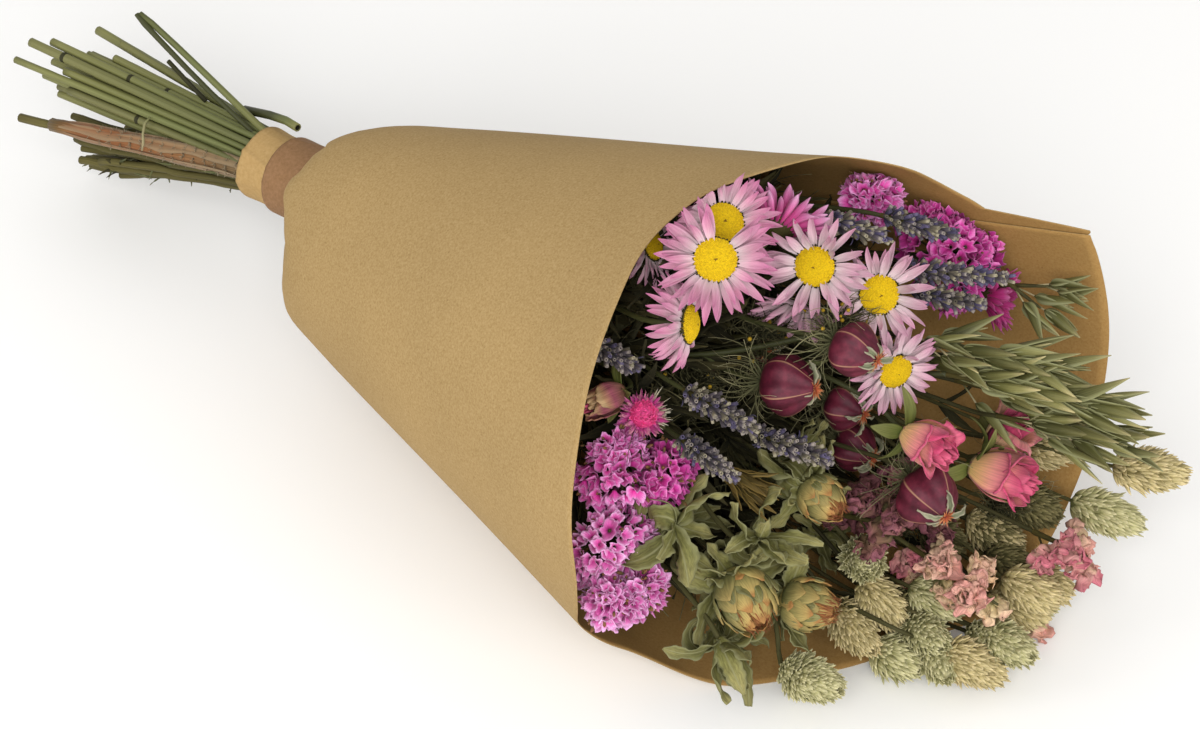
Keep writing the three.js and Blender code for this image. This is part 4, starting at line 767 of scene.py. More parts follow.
def statice(skin, size, rng, style):
    count = int(staticeLook["cups"] * style.get("count", 1))
    share = (np.arange(count) + 0.5) / count
    tilt = np.arccos(1 - share * staticeLook["spread"])
    turn = spiral(count) + rng.normal(0, 0.1, count)
    out = around(turn, np.sin(tilt), np.cos(tilt))
    clumps = unit(np.stack((rng.normal(0, 1, staticeLook["clumps"]), rng.normal(0, 1, staticeLook["clumps"]),
                            rng.uniform(0.1, 1.2, staticeLook["clumps"])), -1))
    near = np.arccos(np.clip((out @ clumps.T).max(1), -1, 1))
    hollows = style.get("clumped", staticeLook["clumped"]) * np.clip(near / 0.6, 0, 1.3) ** 2
    reach = size * (0.98 - hollows) * rng.uniform(0.9, 1.04, count)
    depth = staticeLook["depth"] * rng.uniform(0.8, 1.15, count)
    rows, columns = 7, 24
    t = np.linspace(0, 1, rows)[None, :, None]
    phi = np.linspace(0, fullTurn, columns, endpoint=False)[None, None, :]
    phases = rng.uniform(0, fullTurn, (5, count, 1, 1))
    rim = staticeLook["rim"] * rng.uniform(0.75, 1.25, (count, 1, 1))
    ruffle = staticeLook["ruffle"]
    radius = 0.5 + (rim - 0.5) * t ** 1.2
    radius = radius * (1 + ruffle * t * np.cos(5 * phi + phases[0]) + 0.26 * t * np.cos(2 * phi + phases[1])
                       + 0.09 * t ** 2 * np.cos(7 * phi + phases[4]))
    rise = depth[:, None, None] * (t - 0.25 * t ** 3)
    rise = rise + t ** 2 * (0.7 * np.cos(5 * phi + phases[2]) + 0.9 * np.cos(3 * phi + phases[3])
                            + 0.5 * np.cos(8 * phi + phases[0]))
    tipped = unit(out + rng.normal(0, 0.35, out.shape))
    start = out * (reach - depth)[:, None]
    axes = (start, *sideAxes(tipped), tipped)
    grids = setAt(around(phi, radius, rise), *(axis[:, None, None] for axis in axes))
    points = shellPoints(grids, 0.1, True)
    grow(skin, points, shellPart(rows, columns, True), style.get("cup", "staticeCup"),
         rng.uniform(0, 1, count))
    number = staticeLook["calyxes"]         # dry calyxes show between the cups
    chosen = rng.choice(count, number)
    far = reach[chosen] * rng.uniform(0.72, 0.95, number)
    seat = out[chosen] * far[:, None] + rng.normal(0, 1.4, (number, 3))
    bud, part = lathePart([(0.3, -1.2), (0.7, 0), (0.6, 1.0), (0.2, 1.7)], 6)
    stamp(skin, "staticeCalyx", bud, part, seat, out[chosen], rng.uniform(0.6, 1.1, number), rng)
    for k in range(0, count, 2):
        tube(skin, "twigStem", [(0, 0, -1), start[k] * 0.5 + (0, 0, 0.5), start[k] + out[k] * 0.8], 0.4, 5,
             rng.uniform())


lavenderLook = {"perLength": 6.2, "whorlSpacing": 4.2, "tubeLength": 4.5, "tubeRadius": 0.66}


def lavender(skin, size, rng, style):
    profile = [(0.35, 0), (0.8, 0.2), (1.0, 0.5), (0.96, 0.84), (0.88, 1.0), (0.66, 1.0), (0.55, 0.74)]
    points, part = lathePart(profile, 9, ribs=0.08)
    part["along"] = np.concatenate((np.repeat([0, 0.3, 0.6, 0.88, 1, 0.98, 0.7], 9), [0, 0.7]))
    # a near-black cap set inside each tube's mouth: painted shade in the hollow
    dark, darkPart = lathePart([(0.6, 0.76), (0.64, 0.84), (0.3, 0.86)], 7)
    count = int(size * lavenderLook["perLength"])
    share = np.clip((np.arange(count) + rng.uniform(-0.4, 0.4, count) + 0.5) / count, 0, 1)
    whorls = max(3, size / lavenderLook["whorlSpacing"])
    share = share * 0.45 + np.round(share * whorls) / whorls * 0.55
    turn = spiral(count) + rng.uniform(-0.3, 0.3, count)
    swell = np.sin(math.pi * np.clip(0.14 + 0.74 * share, 0, 1)) ** 0.8
    open = np.radians(style.get("open", 50) - 32 * share + rng.normal(0, 11, count))
    length = lavenderLook["tubeLength"] * (0.72 + 0.28 * swell) * rng.uniform(0.75, 1.2, count)
    wide = lavenderLook["tubeRadius"] * rng.uniform(0.8, 1.12, count)
    direction = around(turn, np.sin(open), np.cos(open))
    seat = around(turn, 0.9 * swell * rng.uniform(0.6, 1.5, count), (size - 3.4) * share)
    sizes = np.stack((wide, wide, length), -1)
    tones = rng.uniform(0, 1, count)
    kindOf = rng.choice(3, count, p=style.get("mix", (0.58, 0.27, 0.15)))
    for index, name in enumerate(("lavenderTube", "lavenderBeige", "lavenderBlue")):
        chosen = kindOf == index
        stamp(skin, name, points, part, seat[chosen], direction[chosen], sizes[chosen], rng, tones[chosen])
    stamp(skin, "lavenderThroat", dark, darkPart, seat, direction, sizes, rng, tones)
    number = int(size * 0.5)       # withered corollas poke out of a few
    blades(skin, "lavenderBlue", rng, number, turn=rng.uniform(0, fullTurn, number),
           length=rng.uniform(1.6, 3.0, number), width=rng.uniform(0.5, 1.1, number),
           open=rng.uniform(10, 80, number), curl=rng.normal(0, 60, number), root=3.0,
           height=rng.uniform(1, size - 2, number), cup=0.8, outline="lance", rows=5, columns=3,
           thickness=0.12)
    tube(skin, "twigStem", [(0, 0, -1), (0, 0, size * 0.5), (0, 0, size - 3)], [0.9, 0.7, 0.5], 6)


nigellaLook = {"lobes": 5, "keel": 0.5, "groove": 0.12, "threads": 16, "starThreads": 60}


def nigella(skin, size, rng, style):
    radius, body, lobes = size * 0.43, size * 0.76, nigellaLook["lobes"]
    rows, columns = 30, 110
    t = np.linspace(0, 1, rows)
    theta = np.linspace(0, fullTurn, columns, endpoint=False)
    swell = np.sin(math.pi * (0.05 + 0.87 * t ** 0.74)) ** 0.85
    middle = np.abs(((theta * lobes / fullTurn) % 1) - 0.5) * 2      # 0 on a seam, 1 between two
    grooves = nigellaLook["groove"] * np.sin(math.pi * middle[None] / 2) ** 4
    reach = radius * swell[:, None] * (1 - grooves)
    reach = reach + nigellaLook["keel"] * np.exp(-(middle[None] / 0.08) ** 2) * np.sin(math.pi * t)[:, None]
    dents = np.outer(np.sin(t * 6), np.sin(theta * 3 + 1))
    dents = dents + 0.6 * np.outer(np.sin(t * 11 + 1), np.sin(theta * 8 + 2))
    reach = reach + 0.22 * dents * swell[:, None]
    rings = around(theta, reach, body * t[:, None])
    points = np.concatenate((rings.reshape(-1, 3), [[0, 0, -0.2], [0, 0, body + 0.2]]))
    grow(skin, points[None], ringPart(t, middle, 1), "podSkin", rng.uniform())
    count = nigellaLook["starThreads"]
    blades(skin, "podStar", rng, count, turn=spiral(count), length=rng.uniform(1.6, 4.2, count), width=0.4,
           open=rng.uniform(60, 100, count), curl=rng.normal(8, 14, count), root=0.2, height=body + 0.1,
           outline="lance", rows=4, columns=3)
    turn = (np.arange(lobes) + 0.5) * fullTurn / lobes + rng.normal(0, 0.12, lobes)
    blades(skin, "podHorn", rng, lobes, turn=turn, length=size * rng.uniform(0.34, 0.52, lobes), width=2.1,
           open=62, root=1.2, height=body * 0.96, curl=rng.uniform(40, 320, lobes), cup=0.9,
           twist=rng.normal(0, 70, lobes), teeth=5, wave=0.3, outline="lance", rows=20, columns=5,
           thickness=0.4)
    threads = nigellaLook["threads"]
    for k in range(threads):
        turn = fullTurn * k / threads + rng.uniform(-0.3, 0.3)
        threadPath(skin, "podThread", rng, turn, size * rng.uniform(0.7, 1.2), rng.uniform(84, 130),
                   rng.uniform(-70, 80), 0.24, 1.8)
        for _ in range(3):
            threadPath(skin, "podThread", rng, turn + rng.uniform(-0.6, 0.6), size * rng.uniform(0.4, 0.9),
                       rng.uniform(90, 140), rng.uniform(-120, 260), 0.17, 2.4)


# A hair-fine curling leaf, from the head's axis
def threadPath(skin, name, rng, turn, length, open, curl, radius, curly, height=0.0, steps=10):
    share = np.arange(1, steps + 1) / steps
    bend = math.radians(open) + math.radians(curl) * share
    way = turn + rng.uniform(-1, 1) * curly * share ** 1.5 * 1.6
    moves = length / steps * around(way, np.sin(bend), np.cos(bend))
    path = np.cumsum(np.concatenate(([around(turn, 0.3, height)], moves)), axis=0)
    tube(skin, name, path, np.linspace(radius, radius * 0.35, steps + 1), 4, rng.uniform())


roseLook = {"petals": 16, "heartPetals": 6}


def rose(skin, size, rng, style):
    count = style.get("petals", roseLook["petals"])
    outer = style.get("petal", "rosePetal")
    rows, columns = 16, 19
    t = np.linspace(0, 1, rows)[:, None]
    s = np.linspace(-1, 1, columns)[None, :]
    hip = [(1.2, -0.6), (2.0, 0.4), (size * 0.12, size * 0.06), (size * 0.15, size * 0.12),
           (size * 0.1, size * 0.2)]
    growLathe(skin, "roseSepal", hip, 14, 0.4)
    for k in range(count):
        q = k / (count - 1)
        half = math.radians(80 - 26 * q)
        turn = k * 2.4 + rng.uniform(-0.15, 0.15)
        waist = size * (0.05 + 0.11 * q ** 0.8)
        belly = size * (0.10 + 0.27 * q ** 0.75) * rng.uniform(0.95, 1.05)
        mouth = size * (0.04 + 0.23 * q ** 1.2 * style.get("loose", 1)) * rng.uniform(0.88, 1.12)
        tall = size * (0.88 - 0.14 * q) * rng.uniform(0.94, 1.04)
        radius = waist * (1 - t) ** 2 + 2.3 * belly * t * (1 - t) + mouth * t ** 2 * (1 + 0.1 * q)
        roll = smoothStep(t, 0.72, 1.0) * q * style.get("roll", 1)
        flare = rng.uniform(0.4, 1.5)
        radius = radius + size * 0.15 * roll * flare * (0.55 + 0.45 * np.exp(-(s / 0.45) ** 2))
        peak = size * 0.07 * np.exp(-(s / 0.22) ** 2) * t ** 3 * q
        top = tall * (t - 0.05 * roll * t) * (1 - 0.2 * np.abs(s) ** 3 * t) + peak
        top = top + size * 0.08 - size * 0.09 * roll ** 2 * flare
        crumple = np.sin(5 * s + 7 * t + k) + 0.7 * np.sin(11 * s - 4 * t + 2 * k)
        crumple = crumple + 0.4 * np.sin(17 * s + 9 * t + k)
        radius = radius + size * 0.02 * s + 0.24 * crumple * t
        angle = turn + half * s * (0.55 + 0.45 * np.sin(math.pi * (0.12 + 0.7 * t)))
        grid = around(angle, radius, top + 0.2 * crumple * t)
        name = "roseHeart" if k < style.get("heartPetals", roseLook["heartPetals"]) else outer
        grow(skin, shellPoints(grid[None], 0.2), shellPart(rows, columns), name, rng.uniform())
    turn = np.arange(5) * fullTurn / 5 + rng.normal(0, 0.15, 5)
    blades(skin, "roseSepal", rng, 5, turn=turn, length=size * rng.uniform(0.5, 0.75, 5), width=size * 0.22,
           root=size * 0.08, height=size * 0.06, open=rng.uniform(30, 100, 5), curl=rng.uniform(-60, 60, 5),
           cup=0.4, twist=rng.normal(0, 25, 5), outline="lance", rows=10, columns=5, thickness=0.3)


carthamusLook = {"girth": 0.36, "scaleRows": 5, "perRow": 6, "leaves": 16, "greenTips": 11, "fibres": 150,
                 "ringlets": 12}


def carthamus(skin, size, rng, style):
    radius = size * carthamusLook["girth"]
    tall = radius * 2.35
    girth = lambda h: radius * np.sin(math.pi * (0.1 + 0.87 * np.asarray(h) ** 0.72)) ** 0.8
    body = [(1.4, -0.8)] + [(0.92 * girth(h), tall * h) for h in np.linspace(0.02, 0.95, 10)]
    growLathe(skin, "globeScale", body, 20, 0.6)
    rowCount = carthamusLook["scaleRows"]
    for row in range(rowCount):
        count = carthamusLook["perRow"]
        h = 0.02 + 0.6 * row / (rowCount - 1)
        slope = 44 - 92 * h
        turn = (np.arange(count) + 0.5 * (row % 2)) * fullTurn / count + rng.uniform(-0.3, 0.3, count)
        blades(skin, "globeScale", rng, count, turn=turn, length=tall * 0.52 * rng.uniform(0.8, 1.15, count),
               width=radius * 1.15 * (1.1 - 0.4 * h), open=slope + rng.normal(4, 3, count), curl=-40,
               root=0.97 * girth(h), height=tall * h, cup=0.3, wave=0.2, outline="scale", rows=11, columns=9,
               thickness=0.3)
    count = carthamusLook["greenTips"]      # green ends of the outer bracts, pressed against the globe
    h = rng.uniform(0.12, 0.6, count)
    blades(skin, "spinyLeaf", rng, count, turn=spiral(count, 2), length=radius * rng.uniform(0.7, 1.0, count),
           width=radius * rng.uniform(0.34, 0.5, count), open=44 - 92 * h + 6, curl=-34, root=1.04 * girth(h),
           height=tall * h, cup=rng.uniform(0, 0.5, count), twist=rng.normal(0, 16, count), outline="oval",
           rows=10, columns=7, thickness=0.2)
    count = carthamusLook["fibres"]         # the withered flower, drawn together over the top
    h = rng.uniform(0.5, 0.86, count)
    blades(skin, "globeBrush", rng, count, turn=spiral(count),
           length=tall * (1.06 - h) * rng.uniform(0.8, 1.15, count), width=0.5,
           open=-34 + rng.normal(0, 6, count), curl=rng.normal(10, 14, count), root=1.0 * girth(h) + 0.2,
           height=tall * h, outline="lance", rows=6, columns=3, thickness=0.14)
    count = carthamusLook["leaves"]
    turn = spiral(count, style.get("spin", 0)) + rng.uniform(-0.2, 0.2, count)
    blades(skin, "spinyLeaf", rng, count, turn=turn, length=size * rng.uniform(0.55, 1.0, count), root=1.2,
           height=rng.uniform(-1.5, tall * 0.12, count), width=size * rng.uniform(0.24, 0.38, count),
           open=rng.uniform(48, 112, count),
           curl=rng.choice((-70, 10, 60, 130, 210, 280), count) + rng.normal(0, 20, count),
           cup=rng.uniform(-0.1, 0.8, count), twist=rng.normal(0, 60, count), wave=1.0, waves=2.4, teeth=8,
           outline="oval", rows=26, columns=9, thickness=0.22)
    count = carthamusLook["ringlets"]       # leaf tips that dried into ringlets
    blades(skin, "spinyLeaf", rng, count, turn=spiral(count, 5), length=size * rng.uniform(0.6, 0.9, count),
           root=1.6, height=1, width=rng.uniform(1.2, 2.4, count), open=rng.uniform(50, 100, count),
           curl=rng.uniform(200, 420, count), cup=0.9, twist=rng.normal(0, 60, count), outline="lance",
           rows=26, columns=5, thickness=0.25)


larkspurLook = {"petals": 11, "petalLength": 9.6, "petalWidth": 8.0, "spacing": 6.2}


def larkspur(skin, size, rng, style):
    count = style.get("florets", max(4, round(size / larkspurLook["spacing"])))
    for k in range(count):
        turn = k * 2.4 + rng.uniform(-0.3, 0.3)
        height = size * (k + 0.6) / count * 0.92
        far = 8.0 * (1 - 0.5 * (k / count) ** 2) * rng.uniform(0.85, 1.15)
        out = unit(around(turn, 0.9, 0.55))
        centre = np.array([0, 0, height]) + out * far
        side = unit(np.cross(out, (0, 0, 1)))
        over = np.cross(out, side)

        def place(grids):
            x, y, z = np.moveaxis(grids, -1, 0)
            crumple = np.stack((np.sin(y * 1.3 + z * 0.9 + k), np.sin(z * 1.4 + x * 0.8),
                                np.sin(x * 1.2 + y * 1.1 + 2 * k)), -1)
            finer = np.stack((np.sin(z * 3.1 + k), np.sin(x * 2.9 + 1), np.sin(y * 3.3)), -1)
            return setAt(grids + 0.95 * crumple + 0.3 * finer - (0, 0, 3), centre, side, over, out)
        number = larkspurLook["petals"]
        name = style.get("petal", "larkspurCream")
        if k % 3 == 1:
            name = style.get("second", name)
        blades(skin, name, rng, number, turn=spiral(number) + rng.uniform(-0.2, 0.2, number),
               length=larkspurLook["petalLength"] * rng.uniform(0.7, 1.1, number),
               width=larkspurLook["petalWidth"] * rng.uniform(0.7, 1.1, number),
               open=rng.uniform(15, 80, number), curl=rng.uniform(-130, 10, number),
               cup=rng.uniform(0.2, 1.0, number), twist=rng.normal(0, 30, number), wave=1.0, waves=1.8,
               ruffle=0.6, outline="oval", rows=14, columns=11, thickness=0.16, root=0.5, place=place)
        tube(skin, "twigStem", [(0, 0, height - 2), centre - out * 2.5], 0.4, 5, 0.4)
    tube(skin, "twigStem", [(0, 0, -1), (0, 0, size * 0.6), (0, 0, size)], [1.1, 0.8, 0.5], 6)


phalarisLook = {"perLength": 13.0, "radius": 9.4, "scaleLength": 6.2, "scaleWidth": 2.3}


def phalaris(skin, size, rng, style):
    count = int(size * phalarisLook["perLength"])
    share = (np.arange(count) + 0.5) / count
    turn = spiral(count)
    girth = phalarisLook["radius"]
    swellAt = lambda h: np.sin(math.pi * (0.12 + 0.78 * h ** 0.88)) ** 0.62
    swell = swellAt(share)
    core = [((girth - 3.6) * swellAt(h), (size - 4.5) * h) for h in np.linspace(0.02, 1, 8)]
    name = style.get("scale", "grassScale")
    growLathe(skin, name, [(1.0, -0.6)] + core, 12, 0.0)
    blades(skin, name, rng, count, turn=turn + rng.normal(0, 0.08, count),
           length=phalarisLook["scaleLength"] * rng.uniform(0.8, 1.12, count) * (0.8 + 0.2 * swell),
           width=phalarisLook["scaleWidth"] * rng.uniform(0.8, 1.1, count),
           open=66 - 54 * share + rng.normal(0, 7, count), curl=rng.uniform(-60, -20, count),
           root=(girth - 4.4) * swell, height=(size - 6.2) * share, cup=rng.uniform(0.9, 1.4, count),
           outline="husk", rows=6, columns=5, thickness=0.14)


oatsLook = {"spacing": 4.2, "huskLength": 24, "huskWidth": 4.6}


def oats(skin, size, rng, style):
    count = style.get("husks", max(6, round(size / oatsLook["spacing"])))
    for k in range(count):
        share = (k + 0.5) / count
        turn = k * 2.4 + rng.uniform(-0.4, 0.4)
        lean = math.radians(rng.uniform(4, 32) * (1 - 0.5 * share))
        start = np.array([0, 0, size * 0.62 * share])
        stalk = rng.uniform(4, 12) * (1 - 0.5 * share)
        seat = start + around(turn, math.sin(lean * 1.5), math.cos(lean * 1.5)) * stalk
        out = around(turn, math.sin(lean), math.cos(lean))
        side = unit(np.cross(out, (0.2, 1, 0.1)))
        over = np.cross(out, side)
        place = lambda grids: setAt(grids, seat, side, over, out)
        tube(skin, "oatAwn", [start, (start + seat) / 2 + out * 0.6, seat + out * 0.5], 0.32, 5,
             rng.uniform())
        length = max(min(oatsLook["huskLength"] * rng.uniform(0.82, 1.08), size - seat[2] + 2), 15)
        facing = rng.uniform(0, math.pi)
        gape = rng.uniform(4, 20)
        blades(skin, "oatHusk", rng, 2, turn=np.array([facing, facing + math.pi]),
               length=length * np.array([1, 0.93]), width=oatsLook["huskWidth"] * rng.uniform(0.8, 1.15, 2),
               open=gape + np.array([3, 7]), curl=-gape * 1.1 + rng.normal(0, 4, 2), cup=1.2,
               twist=rng.normal(0, 8, 2), root=0.25, outline="husk", rows=16, columns=11, thickness=0.16,
               place=place)
        blades(skin, "oatHusk", rng, 2, turn=facing + np.array([1.4, 4.4]),
               length=length * np.array([0.72, 0.6]), width=oatsLook["huskWidth"] * 0.55, open=4, curl=-4,
               cup=1.1, root=0.2, outline="husk", rows=9, columns=5, thickness=0.16, place=place)
    tube(skin, "twigStem", [(0, 0, -1), (0, 0, size * 0.3), (0, 0, size * 0.62)], [0.9, 0.7, 0.4], 7, 0.4)


mossLook = {"threads": 190, "buds": 30}


def moss(skin, size, rng, style):
    count = style.get("threads", mossLook["threads"])
    for k in range(count):
        threadPath(skin, style.get("thread", "mossThread"), rng, spiral(1, k)[0],
                   size * rng.uniform(0.5, 1.15), rng.uniform(5, 95), rng.uniform(-120, 150),
                   rng.uniform(0.14, 0.3), 3.0, height=size * rng.uniform(0, 0.55))
    number = style.get("buds", mossLook["buds"])
    if number:
        tilt = rng.uniform(0, 1.2, number)
        turn = rng.uniform(0, fullTurn, number)
        seat = around(turn, np.sin(tilt), np.cos(tilt)) * size * rng.uniform(0.5, 0.95, (number, 1))
        points, part = lathePart([(0.3, -0.6), (0.9, 0), (1.0, 0.6), (0.5, 1.2)], 7)
        stamp(skin, "mossBud", points, part, seat, seat, rng.uniform(0.5, 0.9, number), rng)


leafyLook = {"leaves": 11, "bracts": 26}


def leafy(skin, size, rng, style):
    count = leafyLook["leaves"]
    blades(skin, "spinyLeaf", rng, count, turn=spiral(count), length=size * rng.uniform(0.55, 0.95, count),
           root=0.6, height=rng.uniform(0, 3, count), width=size * rng.uniform(0.18, 0.28, count),
           open=rng.uniform(28, 95, count),
           curl=rng.choice((-60, 20, 90, 170, 240), count) + rng.normal(0, 20, count),
           cup=rng.uniform(-0.1, 0.8, count), twist=rng.normal(0, 60, count), wave=1.0, waves=2.2, teeth=7,
           outline="oval", rows=24, columns=9, thickness=0.22)


def bracts(skin, size, rng, style):
    count = leafyLook["bracts"]
    blades(skin, "goldBract", rng, count, turn=spiral(count), length=size * rng.uniform(0.7, 1.02, count),
           width=rng.uniform(1.6, 3.4, count), open=rng.uniform(3, 24, count), curl=rng.normal(4, 20, count),
           root=0.5, height=rng.uniform(0, 6, count), cup=rng.uniform(0.1, 0.9, count),
           twist=rng.normal(0, 40, count), wave=0.3, outline="lance", rows=12, columns=5, thickness=0.16)


thicketLook = {"leaves": 22, "twigs": 10}


# Dark leaves and broken twigs low among the stems, near-black as painted shade inside the paper
def thicket(skin, size, rng, style):
    count = thicketLook["leaves"]
    blades(skin, "shadeLeaf", rng, count, turn=spiral(count), length=size * rng.uniform(0.5, 1.1, count),
           width=rng.uniform(1.5, 5.5, count), open=rng.uniform(5, 80, count), curl=rng.normal(0, 50, count),
           root=0.5, height=rng.uniform(-6, 6, count), cup=rng.uniform(0, 0.9, count),
           twist=rng.normal(0, 60, count), wave=0.5, outline="lance", rows=10, columns=5, thickness=0.16)
    for _ in range(thicketLook["twigs"]):
        threadPath(skin, "mossThread", rng, rng.uniform(0, 6.28), size * rng.uniform(0.6, 1.2),
                   rng.uniform(10, 90), rng.uniform(-60, 60), rng.uniform(0.2, 0.4), 1.0,
                   height=rng.uniform(-3, 6))


kinds = {grower.__name__: grower for grower in (
    daisy, everlasting, statice, lavender, nigella, rose, carthamus, larkspur, phalaris, oats, moss, leafy,
    bracts, thicket)}

# Each bloom: its node, where its stem ends, the way it faces and its size; two rows of one node
# grow together. What a bloom has of its own stands in styles.
blooms = [
    ("daisy_1", (216, -4, 79), (0.6, -0.3, 0.8), 19),
    ("daisy_2", (228, -21, 82), (0.6, -0.5, 0.6), 20),
    ("daisy_3", (236, 19, 59), (0.4, -0.8, 0.5), 19),
    ("daisy_4", (247, 33, 44), (0.7, -0.5, 0.4), 19),
    ("daisy_5", (253, 30, 19), (0.9, -0.4, 0.1), 17),
    ("daisy_6", (220, -34, 62), (0.9, 0.4, 0.1), 18),
    ("daisy_7", (192, -17, 69), (0.9, 0.3, 0.4), 14),
    ("daisy_8", (223, 12, 68), (-0.1, 0.9, 0.5), 20),
    ("daisy_9", (227, 22, 41), (0.2, -0.7, -0.6), 19),
    ("daisy_10", (249, 83, 12), (0.9, 0.4, -0.1), 15),
    ("everlasting", (217, -49, 33), (0.6, -0.3, 0.7), 13),
    ("statice_1", (221, 61, 54), (0.7, 0.3, 0.7), 14),
    ("statice_2", (238, 78, 27), (0.9, 0.2, 0.4), 22),
    ("statice_3", (204, -50, 12), (0.9, -0.3, -0.2), 20),
    ("statice_4", (208, -63, -13), (0.9, -0.3, -0.3), 19),
    ("lavender_1", (229, 30, 68), (1, 0.2, -0.1), 24),
    ("lavender_2", (238, 50, 60), (1, 0.3, -0.1), 26),
    ("lavender_3", (248, 48, 44), (0.9, 0.3, 0.1), 36),
    ("lavender_4", (247, 51, 33), (1, 0.3, 0), 26),
    ("lavender_5", (221, -32, 34), (1, 0, -0.1), 30),
    ("lavender_6", (234, -16, 12), (1, 0.1, 0), 30),
    ("lavender_7", (222, -38, 19), (1, -0.1, -0.1), 26),
    ("lavender_8", (193, -45, 50), (1, 0.1, -0.2), 20),
    ("nigella_1", (229, -4, 23), (1, 0.3, 0.1), 24),
    ("nigella_2", (250, 8, 41), (1, 0.1, -0.1), 21),
    ("nigella_3", (231, 25, -4), (1, 0.1, 0), 18),
    ("nigella_4", (230, 30, -24), (1, 0, -0.1), 19),
    ("nigella_5", (267, 23, -18), (0.9, -0.3, -0.2), 25),
    ("rose_1", (265, 22, 2), (1, -0.1, 0), 23),
    ("rose_2", (271, 47, -27), (1, 0.2, 0), 27),
    ("rose_3", (270, 58, -29), (0.5, 0.6, 0.6), 21),
    ("rose_4", (202, -40, 30), (-0.1, -1, 0.2), 19),
    ("carthamus_1", (235, -34, -36), (0.9, -0.4, -0.2), 26),
    ("carthamus_2", (244, -20, -52), (1, 0.2, 0.1), 23),
    ("carthamus_3", (241, -1, -17), (1, -0.2, -0.1), 20),
    ("larkspur_1", (262, 27, -54), (1, 0, -0.2), 36),
    ("larkspur_2", (291, 57, -54), (1, 0.1, -0.1), 20),
    ("larkspur_3", (246, 12, -37), (1, 0.2, 0.1), 20),
    ("phalaris_1", (247, 17, -57), (0.6, -0.5, 0.45), 25),
    ("phalaris_2", (247, 3, -71), (0.85, -0.35, 0), 28),
    ("phalaris_3", (266, 18, -79), (0.75, -0.35, 0.3), 29),
    ("phalaris_4", (288, 30, -80), (0.9, -0.2, 0.2), 28),
    ("phalaris_5", (248, -25, -78), (0.85, -0.1, 0.25), 29),
    ("phalaris_5", (264, -21, -78), (1, 0.3, 0), 24),
    ("phalaris_6", (284, 16, -81), (1, 0.1, -0.1), 24),
    ("phalaris_7", (281, 44, -78), (1, 0.2, -0.1), 24),
    ("phalaris_7", (286, 45, -68), (1, 0.2, -0.2), 23),
    ("phalaris_8", (307, 80, -33), (0.9, 0.3, 0.1), 27),
    ("phalaris_9", (289, 81, -58), (1, 0.2, -0.1), 28),
    ("phalaris_10", (260, 61, -66), (1, 0, -0.1), 24),
    ("oats_1", (254, 40, 23), (1, 0.3, 0), 66),
    ("oats_2", (268, 40, 15), (1, 0.3, 0), 74),
    ("oats_3", (278, 56, -9), (1, 0.3, 0), 56),
    ("oats_4", (259, 85, 19), (0.9, 0.4, 0.1), 27),
    ("moss", (240, 14, 37), (0.8, 0.4, 0.5), 16),
    ("leafy_1", (225, -50, -7), (0.9, 0.4, 0), 30),
    ("leafy_2", (244, -29, -20), (0.3, 0.2, 0.9), 26),
    ("leafy_3", (240, -48, -50), (0.75, -0.3, -0.6), 28),
    ("bracts", (222, -25, 2), (1, 0.1, -0.4), 23),
]
# What a bloom has of its own: petal or scale material, degrees its petals open further, share of
# the usual count, and petals left out where a neighbour presses
styles = {
    "daisy_1": {"opening": 4, "petal": "daisyRose"},
    "daisy_2": {"petal": "daisyRose", "count": 1.25, "clear": (((-12, 17, -3), 25),)},
    "daisy_3": {"opening": -4, "count": 0.85},
    "daisy_4": {"opening": -4, "count": 0.8},
    "daisy_6": {"petal": "daisyRose", "opening": 34, "curl": 12, "dome": 1.3},
    "daisy_7": {"opening": 8},
    "daisy_8": {"petal": "daisyHot", "opening": -32, "count": 1.2, "curl": 6},
    "daisy_9": {"opening": -20},
    "daisy_10": {"petal": "daisyDeep", "opening": -38, "count": 1.2, "wide": 1.4},
    "statice_2": {"cup": "staticeDeep", "count": 1.6, "clumped": 0.14},
    "statice_4": {"cup": "staticePale", "count": 1.2},
    "statice_3": {"count": 1.15},
    "rose_3": {"petal": "rosePeach", "petals": 9, "loose": 1.5, "roll": 1.3},
    "rose_4": {"petal": "roseFaded", "petals": 12, "roll": 0.5, "loose": 0.6, "heartPetals": 2},
    "carthamus_2": {"spin": 3},
    "larkspur_1": {"second": "larkspurBlush"},
    "larkspur_2": {"petal": "larkspurPink", "second": "larkspurBlush"},
    "larkspur_3": {"petal": "larkspurDusk"},
    "lavender_1": {"open": 42, "mix": (0.5, 0.25, 0.25)},
    "lavender_2": {"open": 42, "mix": (0.4, 0.3, 0.3)},
    "lavender_3": {"open": 42, "mix": (0.5, 0.25, 0.25)},
    "lavender_4": {"open": 42, "mix": (0.45, 0.25, 0.3)},
    "oats_4": {"husks": 3},
    **{"phalaris_%d" % number: {"scale": "grassStraw"} for number in (2, 6, 7, 8, 10)},
}
